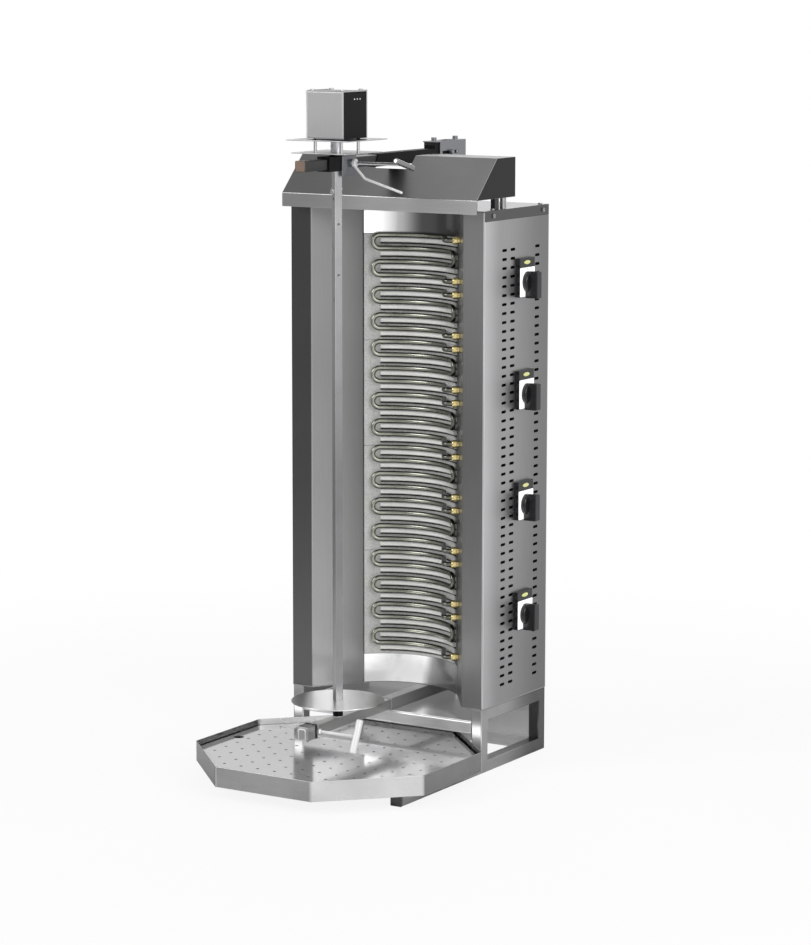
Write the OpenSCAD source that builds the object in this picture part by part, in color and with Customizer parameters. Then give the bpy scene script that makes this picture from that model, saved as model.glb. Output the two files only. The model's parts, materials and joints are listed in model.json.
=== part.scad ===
// Electric doner kebab machine with four heating zones, on a tube base with an octagonal drip tray.
// The origin is on the floor, under the middle of the whole machine. The front looks towards -Y.

/* [Base frame] */
// Height of the base frame
base_h = 104; // [96:1:120]
// Side of the square base tube
tube_s = 20; // [18:1:22]
// Wall of the base tube and of the arm tubes
tube_wall = 1.5; // [1.2:0.1:2]
// How far the runners stand out in front of the housing
runner_out = 244; // [220:2:260]
// How far the cross rails lie below the top of the base
rail_drop = 21; // [21:0.5:26]

/* [Housing] */
// Width of the housing
body_w = 362; // [350:2:380]
// Depth of the housing
body_d = 206; // [200:2:230]
// Height of the side covers
cover_h = 780; // [760:2:800]
// Height of the top cover's flange
top_flange = 17; // [14:1:20]
// Thickness of the casing sheet
sheet = 1.5; // [1:0.1:2]
// Width of the flat front strip of a pillar
pillar_w = 38; // [34:1:40]
// How far a flared panel runs inwards
flare_in = 52.5; // [50:0.5:55]
// How far a flared panel runs back
flare_back = 75; // [72:1:78]

/* [Heater] */
// Half of the angle that the curved heater wall covers
wall_half = 47.9; // [46:0.1:50]
// Thickness of an insulation board
board_t = 10; // [8:1:12]
// Height of the bottom reflector band
band_bottom = 48.8; // [46:0.1:52]
// Height of the top reflector band
band_top = 50.7; // [48:0.1:54]
// Radius of a heating tube
heat_r = 4; // [3.5:0.1:4.2]
// Gap between a heating tube and the boards
heat_gap = 5; // [4:0.5:6]
// Angle of the left bends off the middle of the wall, in degrees
bend_left_angle = 35.5; // [33:0.5:38]
// Angle of the right bend off the middle of the wall, in degrees
bend_right_angle = 44; // [42:1:46]
// Height of a rib on the insulation boards, under a heating tube
rib_h = 7; // [5:0.5:8]
// Distance of a gland from the inner end of the flared panel
gland_in = 24; // [22:1:28]

/* [Electrics] */
// Distance of the first knob from the top of the side cover
switch_drop = 102; // [96:1:110]
// Distance of the last knob from the bottom of the housing
switch_rise = 138; // [130:1:146]
// Distance of the switches from the front of the housing
switch_in = 125; // [122:1:130]
// Width of a switch bezel
bezel_w = 48; // [44:1:50]
// Height of a switch bezel
bezel_h = 62; // [58:1:66]
// Radius of a knob
knob_r = 17; // [15:0.5:18]
// Height of a knob over its bezel
knob_h = 22; // [18:1:24]
// Length of a vent slot
vent_w = 14.6; // [12:0.2:15]
// Height of a vent slot
vent_h = 4.6; // [4:0.2:5]
// Distance between two vent slots
vent_pitch = 14.3; // [13:0.1:16]

/* [Canopy] */
// How far the canopy stands out over each side of the housing
canopy_side = 1; // [0:0.5:4]
// How far the canopy lip stands out in front of the housing
lip_out = 25; // [20:1:30]
// Height of the canopy lip
lip_h = 22; // [18:1:26]
// Height of the sloped part of the canopy
canopy_rise = 63; // [58:1:64]
// Gap between the housing and the canopy cheeks
canopy_gap = 18; // [16:1:22]
// Width of the notch that the arm passes through
notch_w = 64; // [56:1:70]

/* [Arms] */
// Side of the square arm tubes
arm_s = 17; // [16:0.5:17]
// How far the arms stand out in front of the spit
arm_out = 101.5; // [96:0.5:110]
// Height of the upper arm over the housing
arm_over = 76.6; // [76:0.2:80]
// Side of the bearing block on the upper arm
block_s = 23; // [22:0.5:24]
// Length of a clamp handle's cross bar
tee_len = 54; // [48:1:58]
// Radius of the cross bar of the upper and of the lower clamp handle
upper_bar_r = 4.5; // [4:0.1:5]
lower_bar_r = 5.5; // [5:0.1:6]
// Radius of a clamp screw
screw_r = 2.5; // [2.2:0.1:2.8]
// How far the upper clamp handle stands out from the arm
tee_out_upper = 110; // [104:1:116]
// How far the lower clamp handle stands out from the arm
tee_out_lower = 82; // [78:1:90]

/* [Spit and drive] */
// Distance of the spit from the front of the housing
spit_out = 143.5; // [140:0.5:150]
// Side of the square spit bar
spit_s = 12; // [10:0.5:12]
// Radius of the disc
disc_r = 74; // [70:0.5:80]
// Thickness of the disc
disc_t = 2; // [1.5:0.1:3]
// Height of the disc hub
hub_h = 23; // [20:1:26]
// Radius of the drive shaft
shaft_r = 6; // [5.5:0.1:6.2]
// Side of the lower heat plate
plate_lower = 102; // [96:1:114]
// Side of the upper heat plate
plate_upper = 114; // [108:1:124]
// Distance between the two heat plates
plate_gap = 18.5; // [18:0.5:24]
// Side of the motor housing
motor_s = 67.5; // [66:0.5:72]
// Height of the motor housing
motor_h = 73; // [70:1:80]

/* [Tray] */
// Width of the tray across its flats
tray_flat = 428; // [400:2:428]
// Height of the tray wall
tray_h = 32; // [28:1:34]
// Sheet of the tray
tray_sheet = 1.2; // [1:0.1:1.5]
// Height of the drip plate's skirt
skirt_h = 21; // [18:0.5:22]
// Distance between two drip holes
drip_pitch = 31.5; // [30:0.5:36]
// Radius of a drip hole
drip_r = 2.6; // [2:0.1:3]

/* [Hidden] */

// Facets of small and of large round shapes
$fn = 40;
round_fn = 96;
// Overrun of a cut past the faces that it opens
over = 1;
// Gap between flat neighbours that move against each other
run_gap = 0.3;
// Radial clearance of a turning fit and of a fixed fit
turn_fit = 0.06;
hole_fit = 0.3;

// Counts that the machine is built on
zones = 4;
elements_per_zone = 2;
runs = 4;

// Heights of the housing, over the floor
body_z = base_h;
cover_z = body_z + sheet;
cover_top = body_z + cover_h;
body_top = cover_top + top_flange;
heat_bottom = body_z + band_bottom;
heat_top = body_top - band_top;
zone_h = (heat_top - heat_bottom) / zones;
run_pitch = zone_h / elements_per_zone / runs;
// How far the first run lies below the top of the boards
run_drop = 1.5;

// Section of the sleeves that the arms slide in
arm_gap = run_gap;
sleeve_in = arm_s + 2 * arm_gap;
sleeve_s = sleeve_in + 2 * tube_wall;

// Places along the depth
bracket_over = 21;
body_y = (spit_out + tray_flat / 2 - bracket_over) / 2;
front_y = body_y - body_d / 2;
back_y = body_y + body_d / 2;
spit_y = front_y - spit_out;
arm_front_y = spit_y - arm_out;

// Plan of the heater chamber
mouth_x = body_w / 2 - pillar_w;
inner_x = mouth_x - flare_in;
inner_y = front_y + flare_back;
wall_r = inner_x / sin(wall_half);
wall_y = inner_y - wall_r * cos(wall_half);
// Angle that keeps the boards clear of the flared panels
end_angle = 0.6;
board_half = wall_half - end_angle;

// Heights of the arms
rail_top = base_h - rail_drop;
lower_z = rail_top + sleeve_s / 2;
upper_z = body_top + arm_over;
lower_top = lower_z + arm_s / 2;
arm_bore = shaft_r + hole_fit;

// Left normal of the line from a to b
function normal(a, b) = [a[1] - b[1], b[0] - a[0]] / norm(b - a);
// Normal at point i of an open line, long enough to keep both sheets at full thickness
function corner(p, i) =
    let (n0 = normal(p[max(i - 1, 0)], p[max(i, 1)]))
    let (n1 = normal(p[min(i, len(p) - 2)], p[min(i + 1, len(p) - 1)]))
    (n0 + n1) / (1 + n0 * n1);
function beside(p, t) = [for (i = [0 : len(p) - 1]) p[i] + t * corner(p, i)];
function reversed(p) = [for (i = [len(p) - 1 : -1 : 0]) p[i]];

// Folded sheet that follows the line p, with its thickness on the left of the line
module folded(p, t) {
    polygon(concat(p, reversed(beside(p, t))));
}

// Outline in Y and Z, drawn out along X from x0
module along_x(x0, len) {
    translate([x0, 0, 0]) rotate([90, 0, 90]) linear_extrude(len) children();
}

module box(x0, x1, y0, y1, z0, z1) {
    translate([x0, y0, z0]) cube([x1 - x0, y1 - y0, z1 - z0]);
}

// Round bar between two points
module rod(a, b, r) {
    d = b - a;
    translate(a) rotate([0, acos(d[2] / norm(d)), atan2(d[1], d[0])]) cylinder(r = r, h = norm(d));
}

// Square tube along Y with its axis through x and z
module tube_y(x, z, y0, y1, s, wall) {
    difference() {
        box(x - s / 2, x + s / 2, y0, y1, z - s / 2, z + s / 2);
        box(x - s / 2 + wall, x + s / 2 - wall, y0 - over, y1 + over, z - s / 2 + wall, z + s / 2 - wall);
    }
}

module tube_x(y, z, x0, x1, s, wall) {
    rotate([0, 0, -90]) tube_y(-y, z, x0, x1, s, wall);
}

// Square tube along Z with its axis through x and y
module tube_z(x, y, z0, z1, s, wall) {
    difference() {
        box(x - s / 2, x + s / 2, y - s / 2, y + s / 2, z0, z1);
        box(x - s / 2 + wall, x + s / 2 - wall, y - s / 2 + wall, y + s / 2 - wall, z0 - over, z1 + over);
    }
}

// Pan head screw that stands on the plane z = 0
screw_head_r = 3.6;
screw_head_h = 2.4;
screw_shank_r = 1.5;
screw_shank = 5;
drive_r = 1.6;
drive_deep = 1.2;
module pan_screw(shank = screw_shank) {
    difference() {
        union() {
            cylinder(r = screw_head_r, h = screw_head_h);
            translate([0, 0, -shank]) cylinder(r = screw_shank_r, h = shank + over);
        }
        translate([0, 0, screw_head_h - drive_deep]) cylinder(r = drive_r, h = drive_deep + over, $fn = 6);
    }
}

/* Base frame */

frame_x = body_w / 2 - tube_s / 2;
runner_front_y = front_y - runner_out;

// A cap closes the front end of the runner. The front upright closes the front of the upper tube.
module side_frame() {
    tube_y(frame_x, tube_s / 2, runner_front_y, back_y, tube_s, tube_wall);
    box(frame_x - tube_s / 2, frame_x + tube_s / 2, runner_front_y, runner_front_y + tube_wall, 0, tube_s);
    tube_y(frame_x, base_h - tube_s / 2, front_y + tube_s, back_y, tube_s, tube_wall);
    tube_z(frame_x, front_y + tube_s / 2, tube_s, base_h, tube_s, tube_wall);
    tube_z(frame_x, back_y - tube_s / 2, tube_s, base_h - tube_s, tube_s, tube_wall);
}

module base_right_frame() color("silver") side_frame();

module base_left_frame() color("silver") mirror([1, 0, 0]) side_frame();

// The rear rails stand behind the back panel's sheet
module base_cross_rails() color("silver") {
    rail_x = body_w / 2 - tube_s;
    rear_y = back_y - sheet - tube_s / 2;
    for (y = [front_y + tube_s / 2, rear_y])
        tube_x(y, rail_top - tube_s / 2, -rail_x, rail_x, tube_s, tube_wall);
    tube_x(rear_y, tube_s / 2, -rail_x, rail_x, tube_s, tube_wall);
}

// The deck leaves room for the sleeve of the lower arm
deck_gap = 1.5;
module base_deck() color("gainsboro") {
    deck_x = body_w / 2 - tube_s;
    for (m = [0, 1])
        mirror([m, 0, 0])
            box(sleeve_s / 2 + deck_gap, deck_x, front_y, back_y - sheet, rail_top, rail_top + sheet);
}

module base_back_panel() color("gray") {
    panel_x = body_w / 2 - tube_s;
    cut_x = sleeve_s / 2 + deck_gap;
    difference() {
        box(-panel_x, panel_x, back_y - sheet, back_y, 0, base_h);
        box(-cut_x, cut_x, back_y - sheet - over, back_y + over, rail_top, base_h + over);
    }
}

plug_t = 3;
plug_in = 12;
module tube_plug(s, wall) {
    inner = s - 2 * wall;
    translate([-s / 2, -plug_t, -s / 2]) cube([s, plug_t, s]);
    translate([-inner / 2, -over, -inner / 2]) cube([inner, plug_in + over, inner]);
}

module arm_plug() color("rosybrown") {
    translate([0, arm_front_y, upper_z]) tube_plug(arm_s, tube_wall);
}

/* Housing */

module chamber_plan() {
    polygon([[-mouth_x, front_y - over], [-mouth_x, front_y], [-inner_x, inner_y],
             [inner_x, inner_y], [mouth_x, front_y], [mouth_x, front_y - over]]);
    intersection() {
        translate([0, wall_y]) circle(r = wall_r, $fn = round_fn);
        translate([-inner_x, inner_y - over]) square([2 * inner_x, wall_r]);
    }
}

module body_plan() {
    difference() {
        translate([-body_w / 2, front_y]) square([body_w, body_d]);
        chamber_plan();
    }
}

// Left pillar: the front strip and the flared panel, in one fold
module pillar_plan() {
    folded([[-body_w / 2, front_y], [-mouth_x, front_y], [-inner_x, inner_y]], sheet);
}

pillar_h = body_top - sheet - cover_z;

module left_pillar() color("darkgray")
    translate([0, 0, cover_z]) linear_extrude(pillar_h) pillar_plan();

// Direction of the right flared panel, from its inner end to the front, and its normal away from the chamber
flare_dir = [flare_in, -flare_back] / norm([flare_in, flare_back]);
stub_turn = atan2(flare_in, flare_back);
gland_spot = [inner_x, inner_y] + gland_in * flare_dir;
shank_r = 4.7;

function run_z(e, run) = heat_top - run_drop - (e * runs + run) * run_pitch;

// One place for each gland, with X along the gland towards the inside of the housing
module at_glands() {
    for (e = [0 : zones * elements_per_zone - 1], run = [0, runs - 1])
        translate([gland_spot[0], gland_spot[1], run_z(e, run)])
            rotate([0, 0, stub_turn]) rotate([0, 90, 0]) children();
}

module right_pillar() color("darkgray")
    difference() {
        translate([0, 0, cover_z]) linear_extrude(pillar_h) mirror([1, 0]) pillar_plan();
        at_glands() translate([0, 0, -sheet]) cylinder(r = shank_r + hole_fit, h = 3 * sheet);
    }

side_y0 = front_y + sheet;
side_y1 = back_y - sheet;

module left_side_cover() color("gray")
    box(-body_w / 2, -body_w / 2 + sheet, side_y0, side_y1, cover_z, cover_top);

switch_pitch = (cover_h - switch_drop - switch_rise) / (zones - 1);
function switch_z(i) = cover_top - switch_drop - i * switch_pitch;
switch_y = front_y + switch_in;
vent_margin = 31;
vent_top = 46;
vent_rows = floor((cover_h - vent_margin - vent_top) / vent_pitch) + 1;
// Places of the vent columns, from the front of the housing
vent_shares = [0.31, 0.437, 0.82];
neck_r = 11;

module slot(len, h) {
    square([len - h, h], center = true);
    for (s = [-1, 1]) translate([s * (len - h) / 2, 0]) circle(r = h / 2);
}

module right_side_cover() color("gray")
    along_x(body_w / 2 - sheet, sheet)
        difference() {
            translate([side_y0, cover_z]) square([side_y1 - side_y0, cover_top - cover_z]);
            for (share = vent_shares, row = [0 : vent_rows - 1])
                translate([front_y + share * body_d, body_z + vent_margin + row * vent_pitch])
                    slot(vent_w, vent_h);
            for (i = [0 : zones - 1]) translate([switch_y, switch_z(i)]) circle(r = neck_r + hole_fit);
        }

entry_in = 60;
entry_z = cover_z + entry_in;
entry_x = -body_w / 2 + entry_in;
entry_r = 8;
module back_cover() color("gray")
    difference() {
        box(-body_w / 2, body_w / 2, back_y - sheet, back_y, cover_z, cover_top);
        translate([entry_x, back_y - sheet - over, entry_z])
            rotate([-90, 0, 0]) cylinder(r = entry_r + hole_fit, h = sheet + 2 * over);
    }

module top_cover() color("dimgray") {
    translate([0, 0, body_top - sheet]) linear_extrude(sheet) body_plan();
    for (x = [-body_w / 2, body_w / 2 - sheet])
        box(x, x + sheet, side_y0, back_y, cover_top, body_top);
    box(-body_w / 2, body_w / 2, back_y - sheet, back_y, cover_top, body_top);
}

module bottom_plate() color("gray")
    translate([0, 0, body_z]) linear_extrude(sheet) body_plan();

/* Heater */

// Curved sheet or board of thickness t about the axis of the heater wall, between two turns off its middle
module wall_arc(r, t, left, right, z0, z1) {
    translate([0, wall_y, z0]) rotate([0, 0, 90 - right])
        rotate_extrude(angle = left + right, $fn = round_fn) translate([r, 0]) square([t, z1 - z0]);
}

carrier_gap = 0.3;
module heater_wall() color("silver")
    wall_arc(wall_r + board_t + carrier_gap, sheet, board_half, board_half, cover_z, body_top - sheet);

seam = 0.6;
module reflectors() color("whitesmoke") {
    wall_arc(wall_r, sheet, board_half, board_half, cover_z, heat_bottom - seam);
    wall_arc(wall_r, sheet, board_half, board_half, heat_top + seam, body_top - sheet);
}

// Four boards, with a rib on the face under each run of a heating tube
rib_left_angle = 34.5;
rib_right_angle = 43;
rib_drop = 9;
module insulation_boards() color("lightgray") {
    for (i = [0 : zones - 1])
        wall_arc(wall_r, board_t, board_half, board_half,
                 heat_bottom + i * zone_h + seam / 2, heat_bottom + (i + 1) * zone_h - seam / 2);
    for (e = [0 : zones * elements_per_zone - 1], run = [0 : runs - 1])
        wall_arc(wall_r - heat_gap, heat_gap + over, rib_left_angle, rib_right_angle,
                 run_z(e, run) - rib_drop - rib_h / 2, run_z(e, run) - rib_drop + rib_h / 2);
}

// Plan of a tube's cold end: it leaves the wall, runs straight to the front and bends into its gland.
// The headings are in degrees from +X.
run_r = wall_r - heat_gap - heat_r;
cold_heading = -60;
leave_r = 16;
enter_r = 9;
stub = 15;
stub_end = 14;
enter_point = gland_spot - stub * [cos(stub_turn), sin(stub_turn)];
cold_point = enter_point - enter_r * [sin(stub_turn) - sin(cold_heading), cos(cold_heading) - cos(stub_turn)];
cold_side = [-sin(cold_heading), cos(cold_heading)];
axis_point = [0, wall_y];
leave_turn = -cold_heading - acos(((cold_point - axis_point) * cold_side - leave_r) / (run_r - leave_r));
leave_centre = axis_point + (run_r - leave_r) * [sin(leave_turn), cos(leave_turn)];
leave_point = leave_centre + leave_r * cold_side;

// A bend is a little thinner than the straight tube, and its ends run this far into its neighbours
bend_thin = 0.05;
bend_lap = 0.5;
function lap_turn(r) = bend_lap / r * 180 / PI;

// Bend of a rod in the plane z = 0, from turn a0 to a1 about its centre
module bent_rod(r, a0, a1, rod_r) {
    rotate([0, 0, a0 - lap_turn(r)])
        rotate_extrude(angle = a1 - a0 + 2 * lap_turn(r)) translate([r, 0]) circle(r = rod_r - bend_thin);
}

module run_arc(turn_left, turn_right) {
    translate([0, wall_y, 0]) rotate([0, 0, 90 - turn_right])
        rotate_extrude(angle = turn_left + turn_right, $fn = round_fn) translate([run_r, 0]) circle(r = heat_r);
}

// Half ring that joins two runs, in the plane that touches the wall at this turn
module bend(turn, side) {
    translate([run_r * sin(turn), wall_y + run_r * cos(turn), -run_pitch / 2])
        rotate([0, 0, -turn]) rotate([90, 0, 0]) rotate([0, 0, side > 0 ? 0 : 180])
            bent_rod(run_pitch / 2, -90, 90, heat_r);
}

module cold_end() {
    // About its centre on the left the tube turns from the cold heading into the gland
    enter_centre = cold_point + enter_r * cold_side;
    translate([leave_centre[0], leave_centre[1], 0])
        bent_rod(leave_r, 90 + cold_heading, 90 - leave_turn, heat_r);
    rod([leave_point[0], leave_point[1], 0], [cold_point[0], cold_point[1], 0], heat_r);
    translate([enter_centre[0], enter_centre[1], 0])
        bent_rod(enter_r, cold_heading - 90, stub_turn - 90, heat_r);
    translate([enter_point[0], enter_point[1], 0]) rotate([0, 0, stub_turn]) rotate([0, 90, 0])
        cylinder(r = heat_r, h = stub + stub_end);
}

pin_r = 1.5;
pin_len = 10;
module contact_pin() {
    translate([gland_spot[0], gland_spot[1], 0]) rotate([0, 0, stub_turn]) rotate([0, 90, 0])
        translate([0, 0, stub_end - over]) cylinder(r = pin_r, h = pin_len + over);
}

module heating_element(e) color([0.42, 0.43, 0.38])
    translate([0, 0, run_z(e, 0)]) {
        for (end_z = [0, -(runs - 1) * run_pitch])
            translate([0, 0, end_z]) {
                run_arc(bend_left_angle, leave_turn);
                cold_end();
                contact_pin();
            }
        for (run = [1 : runs - 2])
            translate([0, 0, -run * run_pitch]) run_arc(bend_left_angle, bend_right_angle);
        bend(-bend_left_angle, -1);
        translate([0, 0, -2 * run_pitch]) bend(-bend_left_angle, -1);
        translate([0, 0, -run_pitch]) bend(bend_right_angle, 1);
    }

// Gland: a domed cap and a neck inside the chamber, a shank through the panel and a nut behind it
cap_r = 6.3;
cap_h = 6.5;
dome_h = 2;
dome_r = 5;
neck_h = 4;
gland_neck_r = 5.3;
nut_r = 7.5;
nut_h = 4;
gland_h = neck_h + cap_h + dome_h;
module heater_glands() color("gold")
    at_glands()
        difference() {
            union() {
                translate([0, 0, -gland_h]) cylinder(r1 = dome_r, r2 = cap_r, h = dome_h);
                translate([0, 0, -neck_h - cap_h]) cylinder(r = cap_r, h = cap_h);
                translate([0, 0, -neck_h]) cylinder(r = gland_neck_r, h = neck_h);
                cylinder(r = shank_r, h = sheet + nut_h);
                translate([0, 0, sheet]) cylinder(r = nut_r, h = nut_h, $fn = 6);
            }
            translate([0, 0, -gland_h - over])
                cylinder(r = heat_r + turn_fit, h = gland_h + sheet + nut_h + 2 * over);
        }

/* Electrics */

bezel_t = 7;
bezel_x = body_w / 2 + bezel_t;
knob_shaft_r = 3;
switch_s = 40;
switch_deep = 44;
shaft_deep = 20;

module at_switch(i, x) {
    translate([x, switch_y, switch_z(i)]) rotate([0, 90, 0]) rotate([0, 0, 90]) children();
}

module switch_bodies() color("dimgray")
    for (i = [0 : zones - 1])
        difference() {
            union() {
                at_switch(i, body_w / 2 - sheet - switch_deep)
                    translate([-switch_s / 2, -switch_s / 2, 0]) cube([switch_s, switch_s, switch_deep]);
                at_switch(i, body_w / 2 - sheet - over) cylinder(r = neck_r, h = sheet + over);
            }
            at_switch(i, body_w / 2 - shaft_deep) cylinder(r = knob_shaft_r + turn_fit, h = shaft_deep + over);
        }

// The knob's centre lies half a bezel width above the bezel's lower edge
lamp_w = 20;
lamp_h = 5.5;
lamp_proud = 1;
module switch_bezels() color([0.1, 0.1, 0.12])
    for (i = [0 : zones - 1])
        at_switch(i, body_w / 2)
            difference() {
                translate([-bezel_w / 2, -bezel_w / 2, 0]) cube([bezel_w, bezel_h, bezel_t]);
                translate([0, 0, -over]) cylinder(r = knob_shaft_r + hole_fit, h = bezel_t + 2 * over);
                translate([0, bezel_h / 2, bezel_t / 2]) linear_extrude(bezel_t) slot(lamp_w, lamp_h);
            }

module pilot_lamps() color("yellowgreen")
    for (i = [0 : zones - 1])
        at_switch(i, body_w / 2)
            translate([0, bezel_h / 2, bezel_t / 2]) linear_extrude(bezel_t / 2 + lamp_proud)
                slot(lamp_w, lamp_h);

grip_w = 15;
grip_down = 26;
knob_base_t = 6;
knob_edge = 2;
module knob(i) color([0.12, 0.12, 0.12])
    at_switch(i, bezel_x + run_gap) {
        cylinder(r = knob_r, h = knob_base_t);
        translate([0, 0, knob_base_t]) cylinder(r1 = knob_r, r2 = knob_r - knob_edge, h = knob_edge);
        intersection() {
            translate([-grip_w / 2, -grip_down, 0]) cube([grip_w, grip_down + knob_r, knob_h]);
            translate([0, -knob_r, 0]) cylinder(r = 2 * knob_r, h = knob_h);
        }
        translate([0, 0, -bezel_t - run_gap - shaft_deep + over])
            cylinder(r = knob_shaft_r, h = bezel_t + run_gap + shaft_deep);
    }

block_len = 120;
block_deep = 30;
block_h = 34;
poles = 6;
module terminal_block() color("ivory")
    translate([-block_len / 2, back_y - sheet - block_deep, cover_z]) {
        cube([block_len, block_deep, block_h / 2]);
        for (i = [0 : poles])
            translate([i * (block_len - sheet) / poles, 0, 0]) cube([sheet, block_deep, block_h]);
    }

entry_hex_r = 13;
entry_hex_h = 8;
entry_dome_r = 10;
entry_len = 20;
cord_bore_r = 5;
module cable_gland() color("dimgray")
    translate([entry_x, back_y, entry_z]) rotate([-90, 0, 0])
        difference() {
            union() {
                cylinder(r = entry_hex_r, h = entry_hex_h, $fn = 6);
                cylinder(r = entry_dome_r, h = entry_len);
                translate([0, 0, -sheet - entry_hex_h]) cylinder(r = entry_r, h = sheet + entry_hex_h + over);
                translate([0, 0, -sheet - entry_hex_h]) cylinder(r = entry_hex_r, h = entry_hex_h, $fn = 6);
            }
            translate([0, 0, -sheet - entry_hex_h - over])
                cylinder(r = cord_bore_r, h = entry_len + sheet + entry_hex_h + 2 * over);
        }

/* Canopy */

canopy_w = body_w + 2 * canopy_side;
cheek_z = body_top + canopy_gap;
canopy_top = cheek_z + canopy_rise;
lip_y = front_y - lip_out;
slope_back = 63;
canopy_deep = 120;
ridge_y = lip_y + slope_back;
canopy_back_y = lip_y + canopy_deep;
notch_under = 5;
notch_z = upper_z - block_s / 2 - notch_under;

// The black spacer blocks and the studs carry the canopy on a flange of each cheek
spacer_w = 8;
spacer_deep = 13;
spacer_in = 41;
spacer_from_side = 13;
spacer_y = front_y + spacer_in;
stud_r = 5;
stud_behind = 28;
flange_w = 20;
flange_front_y = spacer_y - stud_r;

module canopy() color("slategray")
    difference() {
        union() {
            along_x(-canopy_w / 2, canopy_w)
                folded([[canopy_back_y, canopy_top], [ridge_y, canopy_top], [lip_y, cheek_z],
                        [lip_y, cheek_z - lip_h]], sheet);
            for (x = [-canopy_w / 2, canopy_w / 2 - sheet])
                along_x(x, sheet)
                    polygon([[lip_y, cheek_z], [canopy_back_y, cheek_z], [canopy_back_y, canopy_top],
                             [ridge_y, canopy_top]]);
            for (m = [0, 1])
                mirror([m, 0, 0])
                    box(canopy_w / 2 - flange_w, canopy_w / 2, flange_front_y, canopy_back_y,
                        cheek_z, cheek_z + sheet);
        }
        box(-notch_w / 2, notch_w / 2, lip_y, canopy_back_y + over, notch_z, canopy_top + over);
    }

module canopy_blocks() color([0.12, 0.12, 0.12])
    for (m = [0, 1])
        mirror([m, 0, 0])
            translate([body_w / 2 - spacer_from_side, spacer_y, body_top])
                cube([spacer_w, spacer_deep, canopy_gap]);

// Foot of the rear bracket on the top cover
bracket_t = 2;
foot_w = 70;
foot_edge = 7;
foot_front_in = 60;
foot_back_in = 4;
cheek_foot_y0 = back_y - foot_front_in;
cheek_foot_y1 = back_y - foot_back_in;

// Screws and studs that hold the casing, the canopy and the rear bracket
flange_screw_in = 28;
flange_screw_y = front_y + flange_screw_in;
module fasteners() color("silver") {
    for (m = [0, 1])
        mirror([m, 0, 0]) {
            translate([body_w / 2 - stud_r - sheet, spacer_y + stud_behind, body_top])
                cylinder(r = stud_r, h = canopy_gap);
            for (y = [flange_screw_y, back_y - tube_s])
                translate([body_w / 2, y, body_top - top_flange / 2]) rotate([0, 90, 0]) pan_screw(sheet);
            for (y = [spacer_y - 2 * screw_head_r, back_y - tube_s])
                translate([body_w / 2 - sheet - screw_head_r, y, body_top]) pan_screw(sheet);
        }
    for (y = [cheek_foot_y0 + foot_edge, cheek_foot_y1 - foot_edge], s = [-1, 1])
        translate([s * (foot_w / 2 - foot_edge), y, body_top + bracket_t]) pan_screw(bracket_t);
}

/* Arms */

bracket_end_y = back_y + bracket_over;
bracket_up = 20;
bracket_top = upper_z + bracket_up + bracket_t;
tail_down = 8;
tail_slot_w = 50;
tail_slot_h = 5;
tail_slot_up = 3;
tail_slot_y = cheek_foot_y0 + tail_slot_w / 2 + foot_edge;
bolt_head_r = 4.3;
bolt_head_h = 5.5;
bridge_len = 28;
bridge_front_y = cheek_foot_y0 - bridge_len / 2;

// Two cheeks hold the sleeve of the upper arm, on a foot that is screwed to the top cover
module rear_bracket() color("lightslategray") {
    difference() {
        box(-foot_w / 2, foot_w / 2, cheek_foot_y0, cheek_foot_y1, body_top, body_top + bracket_t);
        for (y = [cheek_foot_y0 + foot_edge, cheek_foot_y1 - foot_edge], s = [-1, 1])
            translate([s * (foot_w / 2 - foot_edge), y, body_top - over])
                cylinder(r = screw_shank_r + turn_fit, h = bracket_t + 2 * over);
    }
    for (s = [-1, 1])
        along_x(s > 0 ? sleeve_s / 2 : -sleeve_s / 2 - bracket_t, bracket_t)
            difference() {
                polygon([[cheek_foot_y0, body_top], [cheek_foot_y1, body_top],
                         [cheek_foot_y1, upper_z - tail_down], [bracket_end_y, upper_z - tail_down],
                         [bracket_end_y, bracket_top], [cheek_foot_y0, bracket_top]]);
                translate([tail_slot_y, upper_z + tail_slot_up]) slot(tail_slot_w, tail_slot_h);
            }
    // Two bridges over the cheeks and one bolt on each, and a bolt through the slot of each cheek
    for (y = [bridge_front_y, bracket_end_y - bridge_len]) {
        box(-sleeve_s / 2 - bracket_t, sleeve_s / 2 + bracket_t, y, y + bridge_len,
            upper_z + bracket_up, bracket_top);
        translate([0, y + bridge_len / 2, upper_z + bracket_up])
            cylinder(r = bolt_head_r, h = bracket_t + bolt_head_h);
    }
    for (s = [-1, 1])
        translate([s * sleeve_s / 2, tail_slot_y, upper_z + tail_slot_up]) rotate([0, s * 90, 0])
            cylinder(r = bolt_head_r, h = bracket_t + bolt_head_h);
}

sleeve_behind = 96;
sleeve_slant = 10;
lower_sleeve_in = 2;
sleeve_front_y = spit_y + sleeve_behind;
lower_sleeve_front_y = front_y + lower_sleeve_in;
module arm_sleeves() color([0.1, 0.1, 0.11]) {
    difference() {
        tube_y(0, upper_z, sleeve_front_y, cheek_foot_y1, sleeve_s, tube_wall);
        along_x(-sleeve_s, 2 * sleeve_s)
            polygon([[sleeve_front_y - over, upper_z - sleeve_s / 2], [sleeve_front_y, upper_z - sleeve_s / 2],
                     [sleeve_front_y + sleeve_slant, upper_z + sleeve_s / 2 + over],
                     [sleeve_front_y - over, upper_z + sleeve_s / 2 + over]]);
    }
    // Block between the sleeve and the front bridge of the bracket
    box(-sleeve_s / 2, sleeve_s / 2, bridge_front_y, bridge_front_y + bridge_len,
        upper_z + sleeve_s / 2, upper_z + bracket_up);
    tube_y(0, lower_z, lower_sleeve_front_y, back_y, sleeve_s, tube_wall);
}

upper_arm_short = 60;
upper_arm_back_y = cheek_foot_y0 - upper_arm_short;
clamp_behind = 21;
clamp_y = spit_y + clamp_behind;
lower_clamp_ahead = 74.5;
lower_clamp_y = spit_y - lower_clamp_ahead;

module arm_tube(z, y1) {
    tube_y(0, z, arm_front_y, y1, arm_s, tube_wall);
}

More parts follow.
